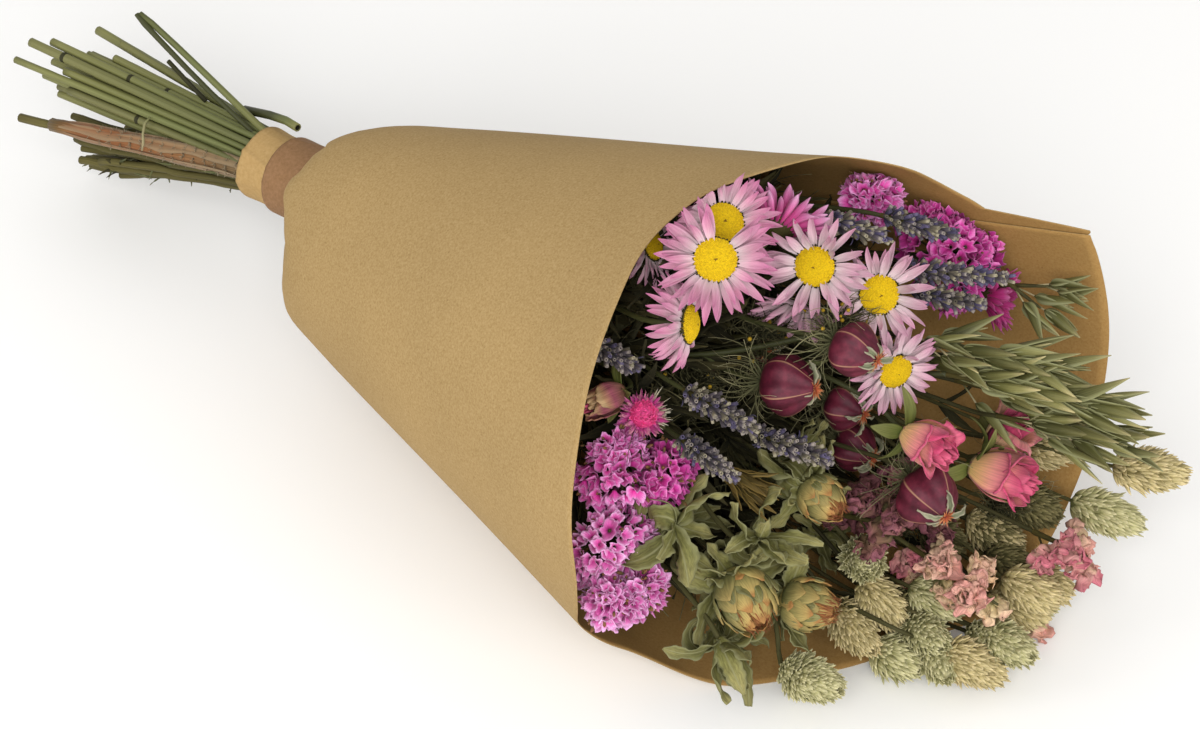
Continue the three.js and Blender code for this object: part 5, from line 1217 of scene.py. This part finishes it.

# Smaller heads and tufts on side shoots, deeper among the others: the node whose stem they leave,
# what they are, where they stand, the way they face and their size
# the shade style gives grass heads darkened as painted shade
straw, shade = {"scale": "grassStraw"}, {"scale": "grassShade"}
# shadedFlorets gives larkspur florets darkened as painted shade
shadedFlorets, budless = {"petal": "larkspurDusk"}, {"buds": 0}
shoots = [
    ("phalaris_1", "phalaris", (252, 12, -64), (0.9, -0.2, -0.3), 22, straw),
    ("phalaris_3", "phalaris", (264, 23, -68), (1, 0.1, -0.1), 22, {}),
    ("phalaris_7", "phalaris", (283, 60, -78), (1, 0.1, -0.1), 21, straw),
    ("phalaris_10", "phalaris", (263, 60, -66), (1, 0.1, -0.1), 20, shade),
    ("phalaris_9", "phalaris", (266, 82, -44), (1, 0.2, 0.1), 22, straw),
    ("phalaris_10", "phalaris", (272, 54, -72), (1, 0.1, 0), 20, shade),
    ("phalaris_7", "phalaris", (283, 54, -80), (0.9, 0, 0), 20, {}),
    ("phalaris_2", "phalaris", (256, 17, -76), (1, 0, 0.1), 20, shade),
    ("phalaris_10", "phalaris", (250, 48, -68), (1, 0, 0.1), 19, shade),
    ("phalaris_5", "phalaris", (262, 4, -82), (1, 0, 0), 22, {}),
    ("phalaris_4", "phalaris", (284, 14, -80), (1, 0, 0.1), 22, straw),
    ("larkspur_3", "larkspur", (228, 28, -50), (1, 0.1, 0.2), 16, shadedFlorets),
    ("larkspur_3", "larkspur", (236, 38, -48), (1, 0.1, 0.2), 14, shadedFlorets),
    ("larkspur_3", "larkspur", (248, 44, -60), (1, 0.1, 0.2), 13, shadedFlorets),
    ("larkspur_1", "larkspur", (252, 32, -78), (1, 0.1, -0.1), 14, {"florets": 2, "second": "larkspurBlush"}),
    ("larkspur_1", "larkspur", (250, 37, -66), (1, 0.1, 0), 8, {"florets": 1, "petal": "larkspurPink"}),
    ("larkspur_2", "larkspur", (284, 47, -83), (1, 0.1, 0), 8, {"florets": 1, "petal": "larkspurBlush"}),
    ("statice_3", "statice", (215, -42, 4), (0.8, -0.1, 0.4), 14, {"count": 0.6, "cup": "staticeDeep"}),
    ("nigella_1", "nigella", (198, 28, 2), (0.7, -0.4, 0.5), 17, {}),
    ("nigella_3", "nigella", (208, 54, -36), (0.8, -0.3, 0.5), 17, {}),
    ("rose_3", "moss", (262, 80, -42), (1, 0.2, 0.3), 15, budless),
    ("phalaris_9", "moss", (266, 75, -60), (1, 0, 0.3), 15,
     {"buds": 0, "threads": 80, "thread": "podThread"}),
    ("phalaris_9", "phalaris", (272, 70, -58), (1, 0.1, 0), 20, shade),
    ("rose_2", "moss", (266, 64, -56), (1, 0, 0.3), 15, budless),
    ("nigella_3", "moss", (222, 60, -54), (1, 0, 0.3), 15, budless),
    ("larkspur_1", "moss", (238, 40, -60), (1, 0.1, 0.3), 16, budless),
    ("daisy_6", "moss", (198, -6, 10), (0.8, -0.3, 0.5), 16, {"buds": 4}),
    ("nigella_1", "moss", (214, 10, 26), (0.8, -0.2, 0.6), 15, {"buds": 6}),
    ("leafy_1", "leafy", (203, -26, -32), (0.8, -0.4, 0.5), 22, {}),
    ("leafy_3", "leafy", (228, -34, -60), (0.9, -0.2, 0.2), 24, {}),
    ("carthamus_2", "leafy", (232, -8, -58), (1, 0, 0.1), 24, {}),
    ("carthamus_3", "leafy", (226, 22, -62), (0.9, -0.2, 0.3), 20, {}),
    ("nigella_4", "leafy", (226, 10, -20), (0.9, -0.2, 0.3), 20, {}),
    ("oats_2", "oats", (258, 60, -6), (1, 0.25, 0), 44, {}),
    ("oats_1", "oats", (244, 48, 10), (1, 0.3, 0), 40, {"husks": 6}),
    ("oats_4", "oats", (262, 82, 24), (0.95, 0.2, -0.6), 24, {"husks": 2}),
    ("phalaris_6", "phalaris", (284, 30, -84), (0.9, -0.3, 0.3), 22, {}),
    ("phalaris_4", "phalaris", (277, 17, -83), (0.6, -0.5, 0.2), 24, {}),
    ("phalaris_3", "phalaris", (258, 24, -82), (1, 0, 0.1), 19, shade),
    ("statice_4", "statice", (216, -70, -28), (0.8, -0.5, 0), 13, {"cup": "staticePale", "count": 0.85}),
    ("statice_4", "statice", (221, -63, -27), (0.9, -0.3, 0), 11, {"cup": "staticePale", "count": 0.6}),
]


# Stems of three sorts. Each is followed along its CAD rod, and its cut end is drawn toward the
# middle of its sort by the share not kept.
stemLook = {
    "reed": {"material": "reedStem", "tail": 1.62, "tie": 1.15, "cone": 0.85, "middle": (0, 15), "keep": 0.5},
    "sheath": {"material": "sheathStem", "tail": 1.75, "tie": 1.2, "cone": 0.9, "middle": (-18, -1),
               "keep": 0.0},
    "twig": {"material": "twigStem", "tail": 1.4, "tie": 1.15, "cone": 0.8, "middle": (-4, -16),
             "keep": 0.75},
    "twigShare": 0.46,           # the lowest cut ends are twigs, the others reeds
    "step": 5.0,                 # between rings along a stem
    "widest": 4.5,               # a larger section of a CAD mesh is a head
    "strayed": 3.5,              # a section farther than this from the last belongs to another stem
    "traceEnd": -140,
    "bendRoom": 16,              # the stem turns to its head over this length
    "sheathed": "statice_3",
    "slim": {"phalaris_3": 0.6},     # share of the usual thickness inside the paper
    "thicketAt": 188, "thicketSize": 30,      # where the near-black leaves of painted shade stand on the stems, along the bouquet
    "tailLeaves": 9, "insideLeaves": 4,
    "shootLength": 55, "shootRadius": 0.75,
}
# Where some stems are cut, along the bouquet, and the share of their own spread they keep
cuts = {
    "lavender_8": (-132, 0.5), "daisy_2": (-127, 0.5), "daisy_3": (-119, 0.5), "rose_4": (-121, 0.5),
    "nigella_2": (-122, 0.5), "daisy_9": (-105, 0.5), "daisy_7": (-97, 0.5), "lavender_2": (-101, 0.8),
    "statice_1": (-119, 0.75), "lavender_1": (-96, 0.5), "statice_2": (-56, 0.9), "daisy_4": (-112, 0.5),
    "statice_3": (-124, 0), "lavender_3": (-88, 0.7),
}
# How far some stems bow down and back on their way to the head
bows = {"phalaris_6": 10, "phalaris_4": 9, "phalaris_7": 7, "phalaris_3": 14, "larkspur_1": 7,
        "larkspur_2": 7,
        "phalaris_10": 5, "nigella_5": 5, "phalaris_5": 5}


# Where a CAD mesh crosses a plane across the bouquet: the middle of each closed loop
def crossings(points, triangles, along):
    above = points[:, 0] > along
    split = triangles[(above[triangles].sum(1) % 3) != 0]
    parent = {}
    spots = {}

    def find(key):
        while parent[key] != key:
            key = parent[key]
        return key
    for corners in split:
        ends = []
        for i in range(3):
            a, b = int(corners[i]), int(corners[(i + 1) % 3])
            if above[a] != above[b]:
                key = (min(a, b), max(a, b))
                share = (along - points[a, 0]) / (points[b, 0] - points[a, 0])
                spots[key] = points[a] + (points[b] - points[a]) * share
                parent.setdefault(key, key)
                ends.append(key)
        parent[find(ends[0])] = find(ends[1])
    loops = {}
    for key, spot in spots.items():
        loops.setdefault(find(key), []).append(spot)
    found = []
    for loop in loops.values():
        low, high = np.min(loop, axis=0), np.max(loop, axis=0)
        if (high - low).max() < stemLook["widest"]:
            found.append((low + high) / 2)
    return found


# Follows a stem's middle along its CAD mesh, from the tie to the cut end and to the head
def traceStem(points, triangles, start, base):
    def follow(spot, step, stop):
        path = [spot]
        while (path[-1][0] - stop) * step < 0:
            along = path[-1][0] + step
            guess = path[-1] + (path[-1] - path[-2] if len(path) > 1 else np.array([step, 0, 0]))
            found = [middle for middle in crossings(points, triangles, along)
                     if np.linalg.norm(middle - guess) < stemLook["strayed"]]
            if not found:
                break
            path.append(min(found, key=lambda middle: np.linalg.norm(middle - guess)))
        return path
    tail = follow(start, -stemLook["step"], stemLook["traceEnd"])
    head = follow(start, stemLook["step"], base[0] - stemLook["bendRoom"])
    return tail[:0:-1] + head


def smoothPath(path, rounds):
    path = np.array(path)
    for _ in range(rounds):
        path[1:-1] = (path[:-2] + path[1:-1] * 2 + path[2:]) / 4
    return path


# Turns a path smoothly to a head at base, which faces its own way
def bendTo(path, base, facing):
    start = path[-1]
    reach = np.linalg.norm(base - start)
    leave = unit(path[-1] - path[-3]) * reach
    arrive = facing * reach
    bend = []
    for share in np.linspace(0, 1, max(4, int(reach / 3)))[1:]:
        keep = 2 * share ** 3 - 3 * share ** 2 + 1
        bend.append(start * keep + leave * (share ** 3 - 2 * share ** 2 + share) + base * (1 - keep)
                    + arrive * (share ** 3 - share ** 2))
    return np.concatenate((path, bend, [base + facing]))


# Draws a stem's free end in, and cuts it shorter or lets it run on
def gatherTail(path, look, cut, keep):
    end = path[0]
    middle = np.array([end[0], *look["middle"]])
    target = middle + (end - middle) * keep
    share = np.clip((-20 - path[:, :1]) / (-20 - end[0]), 0, None)
    path = path + (target - end) * share
    if cut is None:
        return path
    kept = path[path[:, 0] > cut + 1]
    way = unit(kept[0] - kept[1])
    return np.concatenate(([kept[0] + way * (kept[0][0] - cut) / max(-way[0], 0.5)], kept))


stemPaths = []
for name in dict.fromkeys(row[0] for row in blooms):
    rows = [row for row in blooms if row[0] == name]
    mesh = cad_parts[name].data
    mesh.calc_loop_triangles()
    points = toBouquet(np.array([vertex.co for vertex in mesh.vertices]))
    keys, lookup = np.unique(np.round(points, 3), axis=0, return_inverse=True)
    triangles = lookup.ravel()[np.array([triangle.vertices for triangle in mesh.loop_triangles])]
    for start in crossings(keys, triangles, 0.001):
        probe = traceStem(keys, triangles, start, np.array(rows[-1][1], float))
        row = min(rows, key=lambda row: np.linalg.norm(np.array(row[1]) - probe[-1]))
        base, facing = np.array(row[1], float), unit(np.array(row[2], float))
        path = [spot for spot in probe if spot[0] < base[0] - stemLook["bendRoom"] + 4]
        path = bendTo(smoothPath(path, 4), base, facing)
        bow = np.sin(math.pi * np.clip((path[:, :1] - 150) / (base[0] - 150), 0, 1)) ** 2 * bows.get(name, 0)
        stemPaths.append({"node": name, "row": row, "tail": path[0],
                          "path": path + bow * np.array([[0, 0.6, -0.8]])})
heights = np.array([stem["tail"][2] - 0.1 * stem["tail"][1] for stem in stemPaths])
order = heights.argsort().argsort() / len(heights)
for stem, rank in zip(stemPaths, order):
    stem["kind"] = "reed" if rank > stemLook["twigShare"] else "twig"
    if stem["node"] == stemLook["sheathed"]:
        stem["kind"] = "sheath"
    look = stemLook[stem["kind"]]
    cut, keep = cuts.get(stem["node"], (None, look["keep"]))
    stem["path"] = gatherTail(stem["path"], look, cut, keep)
print("stage: stems traced", len(stemPaths))


def growStem(skin, stem, rng):
    look = stemLook[stem["kind"]]
    path = stem["path"]
    along = path[:, 0]
    reed = stem["kind"] == "reed"
    cone = look["cone"] * stemLook["slim"].get(stem["node"], 1)
    radii = np.interp(along, [-60, -22, 28, 60], [look["tail"], look["tie"], look["tie"], cone])
    radii = radii * rng.uniform(0.88, 1.12) * (1 + rng.normal(0, 0.015 if reed else 0.08, len(path)))
    if not reed:                     # twigs are crooked
        path = path + smoothPath(rng.normal(0, 1.0, path.shape), 3) * np.clip(-along[:, None] / 60, 0, 1)
    tube(skin, look["material"], path, radii, 10, rng.uniform(), hollow=6 if reed else 0, pith="stemPith")
    if reed and rng.uniform() < 0.4:       # a joint where a leaf once stood
        spot = int(rng.integers(3, 9))
        ring = path[spot] + np.outer((-0.9, -0.3, 0.3, 0.9), unit(path[spot + 1] - path[spot]))
        tube(skin, "stemJoint", ring, radii[spot] * np.array([1.0, 1.14, 1.14, 1.0]), 10, 0.5)
    if stem["kind"] == "twig":
        for _ in range(stemLook["tailLeaves"]):
            spot = rng.integers(1, max(2, int(np.sum(along < -24))))
            leafAt(skin, "driedLeaf" if rng.uniform() < 0.6 else "shadeLeaf", rng, path, spot,
                   rng.uniform(4, 12), rng.uniform(0.7, 2.2), rng.uniform(5, 30), rng.choice((-1, 1)))
    inside = np.flatnonzero((along > 150) & (along < path[-1, 0] - 34))
    # leaves left on the stem inside the paper, mostly near-black as painted shade
    for _ in range(stemLook["insideLeaves"] if len(inside) else 0):
        leafAt(skin, "driedLeaf" if rng.uniform() < 0.3 else "shadeLeaf", rng, path, rng.choice(inside),
               rng.uniform(10, 20), rng.uniform(1.8, 4.5), rng.uniform(12, 46), 1)
    deep = np.argmin(np.abs(along - min(stemLook["thicketAt"], path[-1, 0] - 38) + rng.uniform(-12, 12)))
    way = unit(path[min(deep + 1, len(path) - 1)] - path[deep - 1])
    addHead(skin, "thicket", path[deep], way, stemLook["thicketSize"], rng, {})


# A leaf that leaves a stem's path at an angle
def leafAt(skin, name, rng, path, index, length, width, open, way):
    along = unit(path[min(index + 1, len(path) - 1)] - path[max(index - 1, 0)]) * way
    side = unit(np.cross(along, (0.3, 0.2, 1)))
    over = np.cross(along, side)
    place = lambda grids: setAt(grids, path[index], side, over, along)
    blades(skin, name, rng, 1, turn=rng.uniform(0, fullTurn), length=length, width=width, open=open,
           curl=rng.uniform(-40, 60), cup=0.4, twist=rng.normal(0, 50), wave=0.2, outline="lance", rows=9,
           columns=5, thickness=0.16, root=0.4, place=place)


sheathLook = {"start": -112, "end": -14, "layers": 4, "hairs": 900}


# Pink-brown leaf sheaths round one stem, torn and woolly along their edges
def sheathe(skin, stem, rng):
    along = stem["path"][:, 0]
    covered = (along > sheathLook["start"]) & (along < sheathLook["end"])
    path, _, side, over = pathFrames(stem["path"][covered])
    t = np.linspace(0, 1, len(path))[:, None]
    s = np.linspace(-1, 1, 19)[None]
    for k in range(sheathLook["layers"]):
        torn = smoothPath(rng.uniform(0.2, 1.6, (len(path), 1)), 1)
        angle = k * 1.7 + 0.6 + s * (1.5 + 0.5 * torn * np.abs(s))
        edge = 1.5 * np.abs(s) ** 4 * torn * smoothStep(t, 0, 0.2)
        radius = 1.8 + 0.2 * k + 1.1 * smoothStep(t, 0.1, 0.9) + edge
        radius = radius + 0.15 * np.sin(angle * 9 + t * 12)
        grid = setAt(around(angle, radius, 0), path[:, None], side[:, None], over[:, None], 0)
        grow(skin, shellPoints(grid[None], 0.2), shellPart(len(path), 19), "woollySheath", rng.uniform())
    hairs = sheathLook["hairs"]
    spot = rng.uniform(0.18, 1, hairs) ** 0.8 * (len(path) - 1)
    index = spot.astype(int)
    angle = rng.uniform(0, fullTurn, hairs)
    outward = np.cos(angle)[:, None] * side[index] + np.sin(angle)[:, None] * over[index]
    seat = path[index] + outward * (2.4 + 1.4 * smoothStep(spot / len(path), 0.1, 0.9))[:, None]
    points, part = lathePart([(0.1, -0.5), (0.08, 0.6), (0.03, 1.4)], 4)
    stamp(skin, "sheathWool", points, part, seat, outward + rng.normal(0, 0.7, seat.shape),
          rng.uniform(0.7, 1.6, hairs), rng)


# Loose pieces caught in the tie: a reed folded back on itself, a short stub and a dry shaving
looseEnds = {
    "fold": [(-5, 9, 12), (-17, 9, 17), (-30, 10, 22.5), (-49, 12.5, 28), (-68, 15, 33.5), (-82, 15.4, 39.5),
             (-85.5, 15, 41),
             (-86, 14, 41), (-84, 13.2, 39.5), (-69.5, 12, 34), (-58, 11, 28), (-45, 9.5, 23.5), (-30, 8, 19),
             (-12, 7, 12)],
    "foldRadius": 1.25,
    "stub": [(-3, 13, 22.2), (-10, 14, 22), (-20, 15, 20), (-34, 15, 17)],
    "stubRadius": 1.6,
    "shaving": [(-62.4, -6.8, 15.1), (-63.3, -8.9, 13.4), (-62.1, -11.6, 10.8), (-61.4, -12.8, 7.7),
                (-61.7, -13.9, 4.6)],
    "thorn": [(-67, 10, 29), (-58, 9.6, 24), (-48, 9, 19)],
}


def growLoose(skin):
    fold = smoothPath(looseEnds["fold"], 1)
    tube(skin, "reedStem", fold, looseEnds["foldRadius"] * np.linspace(1.1, 0.75, len(fold)), 9, 0.7)
    tube(skin, "reedStem", looseEnds["stub"], looseEnds["stubRadius"], 10, 0.6, hollow=5, pith="stemPith")
    tube(skin, "oatAwn", looseEnds["shaving"], [0.4, 0.6, 0.5, 0.55, 0.3], 6, 0.6)
    tube(skin, "stemJoint", looseEnds["thorn"], 0.9, 7, 0.5)


def headFrame(facing, roll):
    upward = np.array([0.0, 0, 1]) if abs(facing[2]) < 0.9 else np.array([-1.0, 0, 0])
    x = unit(upward - facing * np.dot(upward, facing))
    y = np.cross(facing, x)
    return np.stack((x * math.cos(roll) + y * math.sin(roll), y * math.cos(roll) - x * math.sin(roll),
                     facing))


# Grows a head of one kind at its place on the bouquet
def addHead(skin, kind, base, facing, size, rng, style):
    head = newSkin()
    head["names"] = skin["names"]
    axes = headFrame(unit(np.array(facing, float)), style.get("roll", rng.uniform(0, fullTurn)))
    kinds[kind](head, size, rng, {**style, "axes": axes})
    skin["points"] += [points @ axes + np.array(base, float) for points in head["points"]]
    skin["faces"] += [faces + skin["count"] for faces in head["faces"]]
    skin["count"] += head["count"]
    for key in ("slots", "along", "side", "tone"):
        skin[key] += head[key]


# A side shoot from a stem to one more head
def addShoot(skin, stem, row, rng):
    _, kind, base, facing, size, style = row
    base, facing = np.array(base, float), unit(np.array(facing, float))
    leave = np.argmin(np.abs(stem["path"][:, 0] - (base[0] - stemLook["shootLength"])))
    path = bendTo(stem["path"][leave - 2:leave + 1], base, facing)
    tube(skin, "twigStem", path, stemLook["shootRadius"], 7, rng.uniform())
    addHead(skin, kind, base, facing, size, rng, style)


# Presses petals and leaves softly against the inside of the paper, and keeps them above the table
def keepInside(points):
    along, across, level = points[:, 0], points[:, 1], points[:, 2]
    angle = np.degrees(np.arctan2(across, level))
    start, lap = paperLook["seam"]
    turned = (angle - start) % 360
    inner = (1 - smoothStep(turned, lap, lap + paperLook["lapFade"])) * paperLook["layerGap"]
    beyond = along - edgeAt(paperLook["mouthEdge"], angle % 360, 5)
    ease = paperLook["ease"]
    limit = coneRadius(along) - paperLook["clearance"] - inner + np.maximum(beyond, 0) * 1.2
    radius = np.maximum(np.hypot(across, level), 1e-6)
    pressed = limit - ease * np.exp(-(radius - limit + ease) / ease)
    far = (radius > limit - ease) & (along > paperLook["holdsFrom"])
    share = np.where(far, pressed / radius, 1)
    across, level = across * share, level * share
    floor = tableAt(along) + 0.3 + np.where(beyond < 0, 0.5 + inner, 0) + 0.3
    lifted = floor + ease * np.exp((level - floor - ease) / ease)
    level = np.where(level < floor + ease, lifted, level)
    return np.stack((along, across, level), -1)


# The kraft paper: one sheet rolled into a cone, with its edge lapped over and its neck gathered
paperLook = {
    "thickness": 0.3, "layerGap": 0.6,   # the inner layer of the lap lies this far in
    "lapFade": 50,                        # degrees over which it comes back out
    "clearance": 2.0,                     # between the paper and what it holds
    "holdsFrom": 60,                      # nothing is pressed inward nearer the tie than this
    "seam": (67.5, 24),                   # degrees: where the sheet starts, and how far it laps
    "collar": 15.1, "ease": 1.6,
    # degrees round from the top, and how far along the bouquet the paper ends there
    "mouthEdge": [(0, 209), (18, 222), (33, 225), (41, 237), (54, 241), (63, 250), (66.5, 284), (90, 285),
                  (114, 285), (150, 280), (180, 258), (197, 239), (208, 225), (219, 210), (242, 206),
                  (256, 217), (270, 224), (298, 219), (321, 212), (340, 206)],
    "shoulderEdge": [(0, 33), (33, 48), (90, 46), (180, 38), (243, 34), (290, 43), (305, 37), (320, 28),
                     (341, 33)],
    "columns": 300, "coneRows": 70,
}


def edgeAt(edge, angles, blur):
    places = np.array([place for place, _ in edge] + [edge[0][0] + 360], float)
    values = np.array([value for _, value in edge] + [edge[0][1]], float)
    total = 0
    for shift in np.linspace(-blur, blur, 9):
        total = total + np.interp((angles + shift - places[0]) % 360 + places[0], places, values)
    return total / 9


skins = {}
for number, stem in enumerate(stemPaths):
    name, base, facing, size = stem["row"]
    rng = np.random.default_rng(500 + number)
    skin = skins.setdefault(name, newSkin())
    growStem(skin, stem, rng)
    addHead(skin, name.split("_")[0], base, facing, size, rng, styles.get(name, {}))
    if stem["kind"] == "sheath":
        sheathe(skin, stem, rng)
for number, row in enumerate(shoots):
    stem = next(stem for stem in stemPaths if stem["node"] == row[0])
    addShoot(skins[row[0]], stem, row, np.random.default_rng(900 + number))
growLoose(skins["statice_1"])
for name, skin in skins.items():
    skin["points"] = [keepInside(np.concatenate(skin["points"]))]
    piece = buildObject(name + "_dried", skin, toWorld)
    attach(piece, "root")
    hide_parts(name)
print("stage: blooms made", sum(len(np.concatenate(skin["slots"])) for skin in skins.values()), "faces")


def kraftWrap():
    start, lap = paperLook["seam"]
    angles = np.linspace(start, start + 360 + lap, paperLook["columns"])
    corner = 360 + 66.5
    angles = np.sort(np.concatenate((angles, [corner, corner - 3.5])))
    turn = np.radians(angles)[None]
    inner = (1 - smoothStep(angles, start + lap, start + lap + paperLook["lapFade"]))[None]
    depth = 0.2 + inner * paperLook["layerGap"]
    shoulder = edgeAt(paperLook["shoulderEdge"], angles, 6)[None]
    sharp = edgeAt(paperLook["mouthEdge"], angles, 0.01)
    soft = edgeAt(paperLook["mouthEdge"], angles, 5)
    nearCorner = np.exp(-(((angles - 65 + 180) % 360 - 180) / 9) ** 4)
    mouth = (soft + (sharp - soft) * nearCorner)[None] - 2.5 * smoothStep(angles, 360 + 67, 360 + 69)
    collar = paperLook["collar"]
    full = coneRadius(shoulder)
    # rows run from the tie, over the gathered shoulder and up the cone
    alongs = [along + 0 * turn for along in (16, 18, 20)]
    radii = [collar + more + 0 * turn for more in (1.6, 2.2, 3.1)]
    offsets = [1.0] * 3
    pleats = np.sin(turn * 18.75 + 0.6 * np.sin(turn * 5)) + 0.35 * np.sin(turn * 37 + 1)
    for share in np.linspace(0, 1, 14)[1:]:
        pleat = pleats * math.sin(math.pi * share) ** 0.8
        forward = 0.84 * share * (1 - share) + share ** 2
        outward = 1.16 * share * (1 - share) + share ** 2
        alongs.append(20 + (shoulder - 20) * forward + 1.5 * pleat)
        radii.append(collar + 3.1 * (1 - share) + (full - collar) * outward + 0.9 * pleat)
        offsets.append(1 - share)
    for share in np.linspace(0, 1, paperLook["coneRows"])[1:]:
        alongs.append(shoulder + (mouth - shoulder) * share)
        radii.append(coneRadius(alongs[-1]))
        offsets.append(0)
    along, radius = np.concatenate(alongs), np.concatenate(radii)
    offset = np.array(offsets)[:, None]
    for _ in range(5):            # rounds the fold at the shoulder
        for values in (along, radius):
            values[12:24] = (values[11:23] + values[12:24] * 2 + values[13:25]) / 4
    share = np.clip((along - shoulder) / (mouth - shoulder), 0, 1)
    creases = 0.5 * np.sin(turn * 2 + along * 0.021 + 1) * np.sin(turn * 5 - along * 0.016)
    deepCrease = np.exp(-((np.degrees(turn) - 318 + (along - 60) * 0.35) / 7) ** 2)
    creases = creases + 0.7 * deepCrease * np.exp(-((along - 60) / 40) ** 2)
    edge = 0.8 * np.sin(turn * 7 + 2) * np.sin(turn * 3) * smoothStep(share, 0.8, 1.0)
    far = radius - depth - (creases * smoothStep(share, 0.02, 0.2) + edge) * 0.8
    floor = tableAt(along) + 0.2 + inner * paperLook["layerGap"]
    raw = 5 * offset + far * np.cos(turn)
    ease = 2.5
    level = (raw + floor + np.sqrt((raw - floor) ** 2 + ease ** 2)) / 2
    across = 6 * offset + far * np.sin(turn)
    grid = np.stack((along, across, level), -1)[None]
    skin = newSkin()
    grow(skin, shellPoints(grid, paperLook["thickness"]), shellPart(*grid.shape[1:3]), "kraftPaper")
    skin["slots"][0][:] = slotOf(skin, "kraftInside")
    return skin


sleeveLook = {"start": -17, "end": 26, "radius": 13.6, "thickness": 0.5, "rows": 40, "columns": 160}
bandLook = {"start": -3, "end": 13, "radius": 14.75, "thickness": 0.4, "rows": 18, "columns": 160}


def tieTube(look, name, wrinkles):
    t = np.linspace(0, 1, look["rows"])[:, None]
    theta = np.linspace(0, fullTurn, look["columns"], endpoint=False)[None]
    along = look["start"] + (look["end"] - look["start"]) * t
    radius = look["radius"] - look["thickness"] / 2 + wrinkles(t, theta)
    grid = np.stack((along + 0 * theta, bouquet["tieCentre"][1] + radius * np.sin(theta),
                     bouquet["tieCentre"][2] + radius * np.cos(theta)), -1)[None]
    skin = newSkin()
    grow(skin, shellPoints(grid, look["thickness"], True), shellPart(look["rows"], look["columns"], True),
         name)
    return skin


def sleeveWrinkles(t, theta):
    creased = 0.12 * np.sin(theta * 7 + 2.2 * np.sin(t * 2.4)) + 0.05 * np.sin(theta * 19 + t * 3)
    folded = 0.9 * np.exp(-((theta - 5.62 + t * 0.55) / 0.07) ** 2)
    folded = folded + 0.45 * np.exp(-((theta - 4.75 - t * 0.3) / 0.07) ** 2)
    flare = 0.7 * (1 - smoothStep(t, 0, 0.16)) * (0.6 + 0.4 * np.sin(theta * 3))
    return creased * (0.4 + 0.6 * np.sin(math.pi * t)) + folded * 0.8 - 0.2 + flare


def bandWrinkles(t, theta):
    creased = 0.05 * np.sin(t * 11 + 1.4 * np.sin(theta * 3)) + 0.05 * np.sin(theta * 9 + t * 5)
    crossed = sum(0.22 * np.exp(-((theta - place - t * slant) / 0.05) ** 2) for place,
                  slant in ((5.1, 0.7), (5.5, -0.4), (0.2, 0.5)))
    return creased * np.sin(math.pi * t) + crossed


wrapping = {
    "kraft_wrap": (kraftWrap(), "kraft_paper"),
    "neck_sleeve": (tieTube(sleeveLook, "sleevePaper", sleeveWrinkles), "sleeve_paper"),
    "neck_band": (tieTube(bandLook, "bandPaper", bandWrinkles), "band_paper"),
}
for name, (skin, slot) in wrapping.items():
    piece = buildObject(name + "_paper", skin, toWorld)
    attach(piece, "root")
    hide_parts(name)
print("stage: paper made")


stageLook = {"floor": "#f8f7f5", "floorSize": 6.0, "sky": 0.63, "lampAim": (0.08, 0, 0.07)}      # metres
floorMaterial, tree = newMaterial("paintedFloor")      # matt paint
floorShader = addNode(tree, "ShaderNodeBsdfPrincipled",
                      {"Base Color": linear(stageLook["floor"]), "Roughness": 0.9,
                      "Specular IOR Level": 0.1})
addNode(tree, "ShaderNodeOutputMaterial", {}, {"Surface": floorShader.outputs[0]})
half = stageLook["floorSize"] / 2
floorMesh = bpy.data.meshes.new("floor")
floorMesh.from_pydata([(-half, -half, 0), (half, -half, 0), (half, half, 0), (-half, half, 0)], [],
                      [(0, 1, 2, 3)])
floorMesh.materials.append(floorMaterial)
floor = bpy.data.objects.new("floor", floorMesh)
bpy.context.scene.collection.objects.link(floor)

world = bpy.data.worlds.new("sky")
bpy.context.scene.world = world
world.use_nodes = True
world.node_tree.nodes["Background"].inputs["Color"].default_value = (1, 1, 1, 1)
world.node_tree.nodes["Background"].inputs["Strength"].default_value = stageLook["sky"]

# Each lamp: where it stands (m), the side of its panel (m) and its power (W)
lamps = {
    "key": ((1.1, -1.5, 1.5), 1.2, 31),
    "fill": ((-1.2, -1.4, 1.1), 1.6, 13),
    "front": ((1.6, -0.3, 0.7), 1.0, 10),
}
for name, (place, side, power) in lamps.items():
    data = bpy.data.lights.new(name, "AREA")
    data.shape = "SQUARE"
    data.size = side
    data.energy = power
    lamp = bpy.data.objects.new(name, data)
    lamp.location = place
    lamp.rotation_euler = (Vector(place) - Vector(stageLook["lampAim"])).to_track_quat("Z", "Y").to_euler()
    bpy.context.scene.collection.objects.link(lamp)
bpy.context.scene.view_settings.view_transform = "Standard"
bpy.context.scene.view_settings.look = "None"
print("stage: floor and light set")
